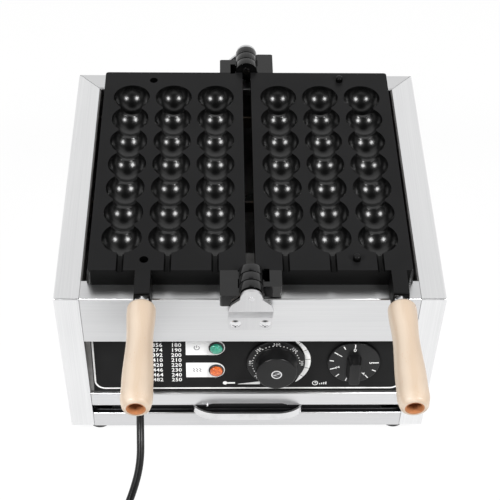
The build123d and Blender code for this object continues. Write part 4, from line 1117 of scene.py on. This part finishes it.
@dataclass
class DialMarks:
    """Marks on the two dials' skirts, which turn with them."""

    panel: LeaningPanel
    numerals: Numerals
    skirt_out: float = 3.9
    ink: float = 0.05
    scale_start: float = 222.0
    dot_step: float = 8.8
    dot_ring: float = 23.9
    dot_radius: float = 0.62
    number_ring: float = 26.15
    number_height: float = 2.7
    timer_rim: float = 25.1
    timer_step: float = 54.3
    whole_line: float = 5.0
    half_line: float = 4.4
    line_width: float = 1.05
    figures_in: float = 7.6
    figure_height: float = 4.3

    def thermostat_marks(self) -> Shell:
        """Dots at even angles, and a number outside every fifth of them, its top outwards."""
        middle = np.asarray(THERMOSTAT)
        dots = middle + self.dot_ring * compass(np.radians(self.scale_start - self.dot_step * np.arange(26)))
        made = [discs(dots, self.dot_radius, self.ink)]
        for i in range(6):
            angle = self.scale_start - 5 * self.dot_step * i
            spot = middle + self.number_ring * compass(math.radians(angle))
            text = str(50 * (i + 1))
            made.append(self.numerals.number(text, self.number_height, spot, angle - 90.0, pitch=0.92))
        return joined(made)

    def timer_marks(self) -> Shell:
        """Ticks and numbers from the top anticlockwise: a long tick with its number, then a short one."""
        middle = np.asarray(TIMER)
        made = []
        for i in range(11):
            angle = math.radians(90.0 + self.timer_step / 2 * i)
            unit = compass(angle)
            depth = self.whole_line if i % 2 == 0 else self.half_line
            line = np.stack([middle + unit * self.timer_rim, middle + unit * (self.timer_rim - depth)])
            made.append(stroke(line, self.line_width, self.ink))
            if i % 2 == 0:
                spot = middle + unit * (self.timer_rim - self.figures_in)
                turn = math.degrees(angle) - 90.0
                made.append(self.numerals.number(str(i // 2), self.figure_height, spot, turn))
        return joined(made)

    def build(self) -> None:
        """Make both dials' marks and have them ride on the dials."""
        for shell, name, body in ((self.thermostat_marks(), "thermostat_marks", "thermostat_knob"),
                                  (self.timer_marks(), "timer_marks", "timer_knob")):
            lifted = shell.through(lambda p: self.panel.place(p + np.array([0.0, 0.0, self.skirt_out])))
            settle(lifted.piece(name, INK, crease=20.0), body, "pale_label")


@dataclass
class DialBody:
    """A dial's round skirt with a bevelled rim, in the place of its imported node."""

    node: str
    body: str
    spot: tuple[float, float]
    skirt_radius: float
    panel: LeaningPanel
    back: float = 1.3
    skirt: float = 2.6
    bevel: float = 1.2
    back_edge: float = 0.3
    sides: int = 128

    def place(self, points: np.ndarray) -> np.ndarray:
        """Stand the dial out from the panel at its own spot."""
        return self.panel.stand(points, *self.spot, self.back)

    def rim(self) -> np.ndarray:
        """Along and radius of the skirt from its back to the inner end of its bevel."""
        radius = self.skirt_radius
        bevel = arc((self.skirt - self.bevel, radius - self.bevel), self.bevel, 90, 0, 7)
        back = [[0.0, 0.0], [0.0, radius - self.back_edge], [self.back_edge, radius]]
        return np.vstack([back, bevel])

    def shape(self) -> Shell:
        """The whole dial as along, across and up in millimetres."""
        raise NotImplementedError

    def build(self) -> None:
        """Make the dial and have it turn with its body."""
        made = self.shape().through(self.place).piece(f"{self.node}_moulded", DIAL, 32.0)
        settle(made, self.body, "black_dial", self.node)


@dataclass
class CappedDial(DialBody):
    """The thermostat's dial: a tall tapered cap on the skirt, with a seat for its screw."""

    cap_radius: float = 20.9
    cap_height: float = 15.5
    taper: float = 0.7
    edge: float = 1.6
    foot: float = 0.8
    seat_radius: float = 5.4
    seat_depth: float = 1.2

    def shape(self) -> Shell:
        """One profile turned about the shaft: rim, fillet, tapered side, rounded edge, face, seat."""
        top = self.skirt + self.cap_height
        front = self.cap_radius - self.taper
        fillet = arc((self.skirt + self.foot, self.cap_radius + self.foot), self.foot, 180, 270, 5)
        edge = arc((top - self.edge, front - self.edge), self.edge, 86, 0, 8)
        seat = np.array([[top, self.seat_radius], [top - self.seat_depth, self.seat_radius],
                         [top - self.seat_depth, 0.0]])
        return lathe(np.vstack([self.rim(), fillet, edge, seat]), self.sides, whole=False)


@dataclass
class BarDial(DialBody):
    """The timer's dial: a tall bar across the skirt that reaches further down than up."""

    width: float = 15.0
    above: float = 9.8
    below: float = 19.5
    height: float = 12.5
    taper: float = 2.2
    end_taper: float = 0.9
    edge: float = 1.0
    foot_corner: float = 4.0
    top_corner: float = 3.0
    sunk: float = 0.4

    def ring(self, inset: float, corner: float, along: float) -> np.ndarray:
        """A rounded rectangle of the bar at one height, set in from its foot.

        Args:
            inset: how far the long sides are set in; the ends are set in by their share of it.
            corner: the corners' radius.
            along: how far out from the skirt's back it lies.

        Returns:
            Along, across and up, one row for each point.
        """
        shift = inset * self.end_taper / self.taper
        flat = rounded(self.width / 2 - inset - corner, -self.below + shift + corner,
                       self.above - shift - corner, corner)
        return np.hstack([np.full((len(flat), 1), along), flat])

    def shape(self) -> Shell:
        """The skirt turned about the shaft, and the bar as rings joined upwards and closed over its top."""
        disc = lathe(np.vstack([self.rim(), [[self.skirt, 0.0]]]), self.sides, whole=False)
        top = self.skirt + self.height
        side = self.taper * (self.height - self.edge) / self.height
        rings = [self.ring(0.0, self.foot_corner, self.skirt - self.sunk),
                 self.ring(0.0, self.foot_corner, self.skirt),
                 self.ring(side, self.top_corner, top - self.edge)]
        for turn in np.radians([22.5, 45.0, 67.5, 90.0]):
            inward, upward = 1.0 - math.cos(turn), 1.0 - math.sin(turn)
            corner = self.top_corner - 0.8 * inward
            rings.append(self.ring(side + self.edge * inward, corner, top - self.edge * upward))
        count = len(rings[0])
        caps = np.array([np.arange(count)[::-1], (len(rings) - 1) * count + np.arange(count)])
        return disc + Shell(np.vstack(rings), [grid_faces(len(rings), count, False, True), caps])


@dataclass
class SignalLamp:
    """A lamp's black collar and its faceted coloured lens."""

    name: str
    node: str
    slot: str
    glass: Finish
    up: float
    panel: LeaningPanel
    out: float = 0.9
    collar_radius: float = 7.7
    lens_radius: float = 6.4
    rim: float = 2.4
    crown: float = 5.0

    def place(self, points: np.ndarray) -> np.ndarray:
        """Stand a turned shape out from the panel at the lamp."""
        return self.panel.stand(points, LAMP_X, self.up, self.out)

    def collar(self) -> Shell:
        """A low black ring with a rounded outer edge: a closed profile turned about the lamp's axis."""
        inner, outer = self.lens_radius - 0.15, self.collar_radius
        round_edge = arc((0.9, outer - 0.9), 0.9, 90, 0, 6)
        profile = np.vstack([[[0.0, inner], [0.0, outer]], round_edge, [[1.6, inner]]])
        return lathe(profile, 48)

    def lens(self) -> Shell:
        """A faceted dome: rings of points on a shallow ball, every other ring turned by half a facet."""
        steps, sides = 5, 14
        share = np.linspace(0.0, 1.0, steps + 1)
        reach = np.sin(share * np.pi / 2) * self.lens_radius
        height = self.rim + (self.crown - self.rim) * np.cos(share * np.pi / 2)
        turn = np.linspace(0.0, 2.0 * np.pi, sides, endpoint=False)
        angle = turn[None, :] + (np.arange(steps + 1) % 2)[:, None] * np.pi / sides
        flat = reach[:, None, None] * compass(angle)
        rings = np.concatenate([np.repeat(height[:, None], sides, 1)[:, :, None], flat], -1)
        foot = rings[-1:] * np.array([0.0, 1.0, 1.0])
        centre = foot * np.array([1.0, 0.0, 0.0])
        points = np.concatenate([rings, foot, centre]).reshape(-1, 3)
        return Shell(points, [self.facets(steps, sides), grid_faces(3, sides, False, True) + steps * sides])

    @staticmethod
    def facets(steps: int, sides: int) -> np.ndarray:
        """Number the dome's three-sided facets: two for each side between neighbouring rings."""
        i, j = np.meshgrid(np.arange(steps), np.arange(sides), indexing="ij")
        here, below = i * sides, (i + 1) * sides
        after = (j + 1) % sides
        even = i % 2 == 0
        first = np.stack([here + j, below + j, np.where(even, here + after, below + after)], -1)
        second = np.stack([np.where(even, below + j, here + j), below + after, here + after], -1)
        return np.concatenate([first.reshape(-1, 3), second.reshape(-1, 3)])

    def build(self) -> None:
        """Make the collar and lens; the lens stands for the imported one."""
        collar = self.collar().through(self.place).piece(f"{self.name}_collar", DARK, 30.0)
        settle(collar, "housing", "dark_plastic")
        lens = self.lens().through(self.place).piece(f"{self.name}_lens_cut", self.glass, 5.0)
        settle(lens, "housing", self.slot, self.node)


@dataclass
class TurnedGrip:
    """A wooden grip turned on a lathe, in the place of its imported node."""

    node: str
    body: str
    length: float = 115.5
    head: float = 13.3
    waist: float = 12.1
    belly: float = 14.0
    tip: float = 12.9
    waist_at: float = 38.0
    belly_at: float = 90.0
    bore: float = 7.1
    bore_depth: float = 32.0
    stud_bore: float = 4.2

    def profile(self) -> np.ndarray:
        """Along and radius in millimetres: rounded head, waist, belly, eased tip, stepped bore."""
        rounding = 5.0
        head_arc = arc((rounding, self.head - rounding), rounding, 180, 96, 9)
        knots = np.array([[rounding, self.head], [self.waist_at, self.waist], [self.belly_at, self.belly],
                          [self.length - 3.6, self.tip]])
        side = through_knots(knots, (1.0, 0.05), (0.93, -0.36), 22)
        tip_arc = arc((self.length - 4.0, self.tip - 3.9), 4.0, 68, 8, 8)
        lip_arc = arc((self.length - 0.8, self.bore + 0.8), 0.8, 0, -90, 5)
        floor = self.length - self.bore_depth
        inside = np.array([[floor, self.bore], [floor, self.stud_bore], [0.0, self.stud_bore]])
        return np.vstack([head_arc, side, tip_arc, lip_arc, inside])

    def build(self) -> None:
        """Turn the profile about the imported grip's axis and dress it in beech."""
        low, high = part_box(self.node)
        x, z = (low.x + high.x) / 2, (low.z + high.z) / 2

        def place(points: np.ndarray) -> np.ndarray:
            along, across, up = points.T * MM
            return np.stack([x + across, high.y - along, z + up], -1)

        finish = Beech(f"{self.node}_beech", axis_x=x, axis_z=z)
        made = lathe(self.profile(), 96).through(place).piece(f"{self.node}_turned", finish, 32.0)
        settle(made, self.body, "beech", self.node)


@dataclass
class PullStrap:
    """The tray's pull: a flat strip that bows out past the front in one smooth curve and lies back again."""

    node: str = "tray_pull"
    body: str = "drawer"
    thickness: float = 0.0020
    flat_half: float = 0.0300
    bow_half: float = 0.0565
    edge: float = 0.0004

    def middle_line(self, front: float, back: float) -> np.ndarray:
        """Across and depth: a quarter ellipse at each end, from the recessed sheet to the flat middle."""
        turn = np.linspace(0.0, np.pi / 2, 40)
        across = self.flat_half + (self.bow_half - self.flat_half) * np.cos(turn)
        depth = back + (front - back) * np.sin(turn)
        left = np.stack([-across, depth], -1)
        return np.vstack([left, left[::-1] * np.array([-1.0, 1.0])])

    def build(self) -> None:
        """Sweep the strip's section, its corners taken off, along the line."""
        low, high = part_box(self.node)
        line = self.middle_line(low.y + self.thickness / 2, high.y)
        side = beside(np.gradient(line, axis=0))
        half, edge = self.thickness / 2, self.edge
        section = np.array([[-half, low.z + edge], [-half + edge, low.z], [half - edge, low.z],
                            [half, low.z + edge], [half, high.z - edge], [half - edge, high.z],
                            [-half + edge, high.z], [-half, high.z - edge]])
        flat = line[:, None, :] + side[:, None, :] * section[None, :, :1]
        up = np.broadcast_to(section[None, :, 1:], flat.shape[:2] + (1,))
        points = np.concatenate([flat, up], -1).reshape(-1, 3)
        last = 8 * (len(line) - 1)
        ends = np.array([np.arange(8), last + np.arange(8)[::-1]])
        shell = Shell(points, [grid_faces(len(line), 8, False, True), ends])
        settle(shell.piece("tray_pull_strap", PULL, 30.0), self.body, "steel", self.node)


@dataclass
class PowerLead:
    """The mains lead: out of its gland, down to the surface, and into a neat put-away coil."""

    radius: float = 0.00375
    length: float = 1.47
    floor_gap: float = 0.0008
    coil_radius: float = 0.0430
    bundle_radius: float = 0.0064
    turns: int = 4
    leave: float = 300.0
    steps: int = 70
    tie_at: float = 75.0
    route: tuple[Colour, ...] = (
        (-0.1075, -0.17634, 0.09737),
        (-0.1075, -0.19899, 0.10136),
        (-0.1062, -0.2255, 0.0955),
        (-0.1056, -0.2530, 0.0760),
        (-0.1145, -0.2760, 0.0545),
        (-0.1275, -0.2985, 0.0350),
        (-0.1415, -0.3215, 0.0175),
        (-0.1525, -0.3460, 0.0065),
        (-0.1610, -0.3680, 0.00455),
    )
    plug_start: Colour = (-0.05462, -0.40031, 0.0150)
    plug_heading: float = 30.0
    strap_slack: float = 0.00005
    strap_thickness: float = 0.0006
    strap_half: float = 0.0045

    def start_angle(self) -> float:
        """Where on the coil the lead joins it, in degrees, so that it arrives along the turn."""
        before, last = self.route[-2:]
        return math.degrees(math.atan2(before[0] - last[0], last[1] - before[1]))

    def middle(self) -> np.ndarray:
        """The coil's middle on the surface: a coil radius from where the lead arrives, square to it."""
        return np.array(self.route[-1][:2]) - self.coil_radius * compass(math.radians(self.start_angle()))

    def bundle_middle(self) -> float:
        """Height of the middle of the bundle of turns."""
        return self.floor_gap + self.radius + self.bundle_radius

    def coil(self) -> np.ndarray:
        """The turns' control points: round the coil while slowly going round the bundle, a fifth a turn.

        A curve of this order cuts the corners between them, so they stand out by as much as it takes in.

        Returns:
            One row of three numbers for each point after the lead's last.
        """
        turned = self.turns * 360.0 + self.leave - self.start_angle()
        share = np.arange(1, self.steps + 1) / self.steps
        angle = np.radians(self.start_angle() + turned * share)
        around = np.radians(-90.0 - turned * share / 5.0)
        step = math.radians(turned / self.steps)
        swell = 8.0 / (6.0 + 2.0 * math.cos(step))
        reach = (self.coil_radius + self.bundle_radius * np.cos(around)) * swell
        height = self.bundle_middle() + self.bundle_radius * np.sin(around)
        return np.column_stack([self.middle() + reach[:, None] * compass(angle), height])

    def tail(self) -> np.ndarray:
        """From the last turn up to the plug's neck, and a little way into it."""
        ahead = np.append(compass(math.radians(self.plug_heading)), 0.0)
        leave = self.coil()[-1]
        neck = np.asarray(self.plug_start)
        along = [leave + ahead * 0.014, leave + ahead * 0.028 + [0.0, 0.0, 0.0028], neck - ahead * 0.010,
                 neck + ahead * 0.002]
        return np.stack(along)

    def lead(self) -> bpy.types.Object:
        """The lead as one smooth spline with round thickness."""
        path = np.vstack([np.asarray(self.route), self.coil(), self.tail()])
        curve = bpy.data.curves.new("power_lead", "CURVE")
        curve.dimensions = "3D"
        spline = curve.splines.new("NURBS")
        spline.points.add(len(path) - 1)
        spline.points.foreach_set("co", np.hstack([path, np.ones((len(path), 1))]).ravel())
        spline.order_u = 3
        spline.use_endpoint_u = True
        spline.use_smooth = True
        curve.resolution_u = 8
        curve.bevel_depth = self.radius
        curve.bevel_resolution = 5
        curve.use_fill_caps = True
        curve.materials.append(SHEATH.material())
        return linked("power_lead", curve)

    def tie(self) -> bpy.types.Object:
        """A strap round the bundle: a flat ring about the coil's line.

        Its points go round the bundle at two radii and to both sides along the coil's line.
        """
        around = compass(np.linspace(0.0, 2.0 * np.pi, 48, endpoint=False))
        near = self.bundle_radius + self.radius + self.strap_slack
        far = near + self.strap_thickness
        wide = self.strap_half
        section = np.array([[near, -wide], [far, -wide], [far, wide], [near, wide]])
        x, y = compass(math.radians(self.tie_at))
        out, along = np.array([x, y, 0.0]), np.array([-y, x, 0.0])
        centre = np.array([*self.middle(), self.bundle_middle()]) + out * self.coil_radius
        ring = (around @ np.array([out, [0.0, 0.0, 1.0]]))[:, None, :]
        points = centre + ring * section[None, :, :1] + along * section[None, :, 1:]
        shell = Shell(points.reshape(-1, 3), [grid_faces(len(around), 4, True, True)])
        return shell.piece("lead_tie", STRAP, 30.0)

    def build(self, nodes: Mapping[str, bpy.types.Object]) -> None:
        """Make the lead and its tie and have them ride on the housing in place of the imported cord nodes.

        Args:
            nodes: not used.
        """
        lead, tie = self.lead(), self.tie()
        settle(lead, "housing", "black_rubber", "cord_run", "cord_coil", "cord_tail")
        settle(tie, "housing", "black_rubber", "cord_tie")
        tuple(self.route[0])


@dataclass
class Studio:
    """Camera, pale floor, even surroundings and two softboxes."""

    eye: Colour = (-0.0290, -0.9198, 1.1097)
    yaw: float = 2.049
    pitch: float = 47.416
    roll: float = -1.537
    lens: float = 89.79
    floor_reach: float = 6.0
    lamp_distance: float = 1.5
    lamp_size: tuple[float, float] = (0.42, 0.42)
    lamp_power: float = 18.0
    lamp_turns: tuple[float, float] = (52.0, -48.0)
    lamp_rise: float = 42.0
    lamp_target: Colour = (0.0, 0.0, 0.18)
    sensor: float = 36.0
    fill: float = 0.36

    def camera(self) -> None:
        """Stand the camera where the photograph was taken from."""
        yaw, pitch, roll = (math.radians(v) for v in (self.yaw, self.pitch, self.roll))
        ahead = np.array([math.sin(yaw) * math.cos(pitch), math.cos(yaw) * math.cos(pitch), -math.sin(pitch)])
        right = np.array([math.cos(yaw), -math.sin(yaw), 0.0])
        down = np.cross(ahead, right)
        turned_right = math.cos(roll) * right + math.sin(roll) * down
        turned_down = -math.sin(roll) * right + math.cos(roll) * down
        data = bpy.data.cameras.new("camera")
        data.lens = self.lens
        data.sensor_width = self.sensor
        data.clip_start = 0.01
        data.clip_end = 50.0
        made = linked("camera", data)
        made.matrix_world = standing(turned_right, -turned_down, -ahead, self.eye)
        bpy.context.scene.camera = made

    def lamps(self) -> None:
        """Two softboxes at about the camera's height, one to each side of it."""
        for turn, name in zip(self.lamp_turns, ("softbox_right", "softbox_left")):
            side, rise = math.radians(turn), math.radians(self.lamp_rise)
            level = math.cos(rise)
            toward = np.array([math.sin(side) * level, -math.cos(side) * level, math.sin(rise)])
            data = bpy.data.lights.new(name, "AREA")
            data.shape = "RECTANGLE"
            data.size, data.size_y = self.lamp_size
            data.energy = self.lamp_power
            right = np.cross([0.0, 0.0, 1.0], toward)
            right = right / np.linalg.norm(right)
            spot = np.array(self.lamp_target) + toward * self.lamp_distance
            linked(name, data).matrix_world = standing(right, np.cross(toward, right), toward, spot)

    @staticmethod
    def seen(graph: Graph) -> Wire:
        """One for the rays that show the surroundings: straight, mirrored and through clear things."""
        path = [graph.node("ShaderNodeLightPath", output=name)
                for name in ("Is Camera Ray", "Is Glossy Ray", "Is Transmission Ray")]
        return (path[0] + path[1] + path[2]).reckon("MINIMUM", 1.0)

    def world(self) -> None:
        """An even light, and a view that is white low down and behind, and dark overhead and in front."""
        made = bpy.data.worlds.new("studio")
        made.use_nodes = True
        made.node_tree.nodes.clear()
        graph = Graph(made.node_tree)
        way = graph.node("ShaderNodeTexCoord", output="Generated")
        overhead = way.part(2).span(0.78, 0.96)
        ahead = way.part(1).span(-0.10, 0.35, 1.0, 0.0) * way.part(2).span(0.12, 0.45)
        shade = overhead.reckon("MAXIMUM", ahead)
        view = graph.blend(shade, (0.95, 0.95, 0.95), (0.03, 0.03, 0.03))
        view = graph.blend(graph.node("ShaderNodeLightPath", output="Is Camera Ray"), view, (1.0, 1.0, 1.0))
        light = graph.node("ShaderNodeBackground", {}, {0: WHITE, 1: self.fill})
        shown = graph.node("ShaderNodeBackground", {}, {0: view, 1: 1.0})
        mixed = graph.node("ShaderNodeMixShader", {}, {0: self.seen(graph), 1: light, 2: shown})
        graph.show(mixed, "ShaderNodeOutputWorld")
        bpy.context.scene.world = made

    def floor(self) -> None:
        """A wide level floor that looks white and still takes the object's soft shadow."""
        edge = np.linspace(-self.floor_reach, self.floor_reach, 5)
        x, y = np.meshgrid(edge, edge, indexing="ij")
        points = np.stack([x, y, np.zeros_like(x)], -1).reshape(-1, 3)
        made = Shell(points, [grid_faces(5, 5)[:, ::-1]]).piece("floor", Floor("pale_floor"))

    def build(self) -> None:
        """Set up the whole studio."""
        self.camera()
        self.lamps()
        self.world()
        self.floor()
        bpy.context.scene.view_settings.view_transform = "Standard"
        LOG.info("studio ready")


@dataclass(frozen=True)
class Floor(Finish):
    """Pale matt floor, mostly white to the eye and plain matt to the light that it throws back."""

    white: float = 1.02
    share: float = 0.9

    def paint(self, graph: Graph) -> Wire:
        """Mix the matt floor with plain white for the rays that show it."""
        cloud = graph.noise(graph.here(), detail=2.0, scale=3.0)
        colour = graph.blend(cloud, (0.84, 0.84, 0.84), (0.86, 0.86, 0.86))
        matt = graph.surface(Base_Color=colour, Roughness=0.9, Specular_IOR_Level=0.1)
        white = graph.node("ShaderNodeEmission", {}, {0: WHITE, 1: self.white})
        amount = Studio.seen(graph) * self.share
        return graph.node("ShaderNodeMixShader", {}, {0: amount, 1: matt, 2: white})


# In millimetres and degrees: how near points are joined, the least turn that is rounded, and the widths.
WELD_WITHIN = 0.002
LEAST_TURN = 40.0
ROUNDED_EDGES: dict[str, float] = {
    "left_hinge_lugs": 0.6, "right_hinge_lugs": 0.6, "left_plate": 0.6, "right_plate": 0.6,
    "hinge_bracket_front": 0.35, "hinge_bracket_rear": 0.35, "tray_front": 0.4, "front_rail": 0.4,
    "front_apron": 0.4, "left_handle_nut": 0.3, "right_handle_nut": 0.3,
}


def round_edges(nodes: Mapping[str, bpy.types.Object]) -> None:
    """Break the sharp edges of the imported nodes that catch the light, without touching their meshes.

    The weld joins the points that the faces on both sides of a sharp edge hold apart, so it can round.

    Args:
        nodes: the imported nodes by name.
    """
    for name, width in ROUNDED_EDGES.items():
        weld = nodes[name].modifiers.new("joined_points", "WELD")
        weld.merge_threshold = WELD_WITHIN * MM
        bevel = nodes[name].modifiers.new("broken_edges", "BEVEL")
        bevel.width = width * MM
        bevel.segments = 3
        bevel.limit_method = "ANGLE"
        bevel.angle_limit = math.radians(LEAST_TURN)
        bevel.harden_normals = True
    LOG.info("rounded the edges of %d nodes", len(ROUNDED_EDGES))


def dress(nodes: Mapping[str, bpy.types.Object]) -> None:
    """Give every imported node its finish.

    Args:
        nodes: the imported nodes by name.
    """
    for finish, names in NODE_FINISHES.items():
        for name in names:
            made = nodes[name]
            if not made.material_slots:
                made.data.materials.append(finish.material())
            for place in made.material_slots:
                place.material = finish.material()
    LOG.info("dressed %d packed nodes", sum(len(names) for names in NODE_FINISHES.values()))


def write_size() -> None:
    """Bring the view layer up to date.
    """
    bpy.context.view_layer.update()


def main() -> None:
    """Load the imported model, build each sub-assembly in order, and report it."""
    logging.basicConfig(level=logging.INFO, format="%(name)s: %(message)s")
    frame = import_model()
    nodes = frame["nodes"]
    Studio().build()
    PowerLead().build(nodes)
    dress(nodes)
    round_edges(nodes)
    panel, numerals = LeaningPanel(), Numerals()
    PanelPrint(panel, numerals).build()
    DialMarks(panel, numerals).build()
    CappedDial("thermostat_dial", "thermostat_knob", THERMOSTAT, skirt_radius=29.3, panel=panel).build()
    BarDial("timer_dial", "timer_knob", TIMER, skirt_radius=26.4, panel=panel).build()
    SignalLamp("power", "power_lamp_lens", "green_lens", GREEN, LAMP_UPS[0], panel).build()
    SignalLamp("heat", "heat_lamp_lens", "amber_lens", AMBER, LAMP_UPS[1], panel).build()
    for side in ("left", "right"):
        TurnedGrip(f"{side}_handle_grip", f"{side}_plate_unit").build()
    PullStrap().build()
    write_size()


if __name__ == "__main__":
    main()
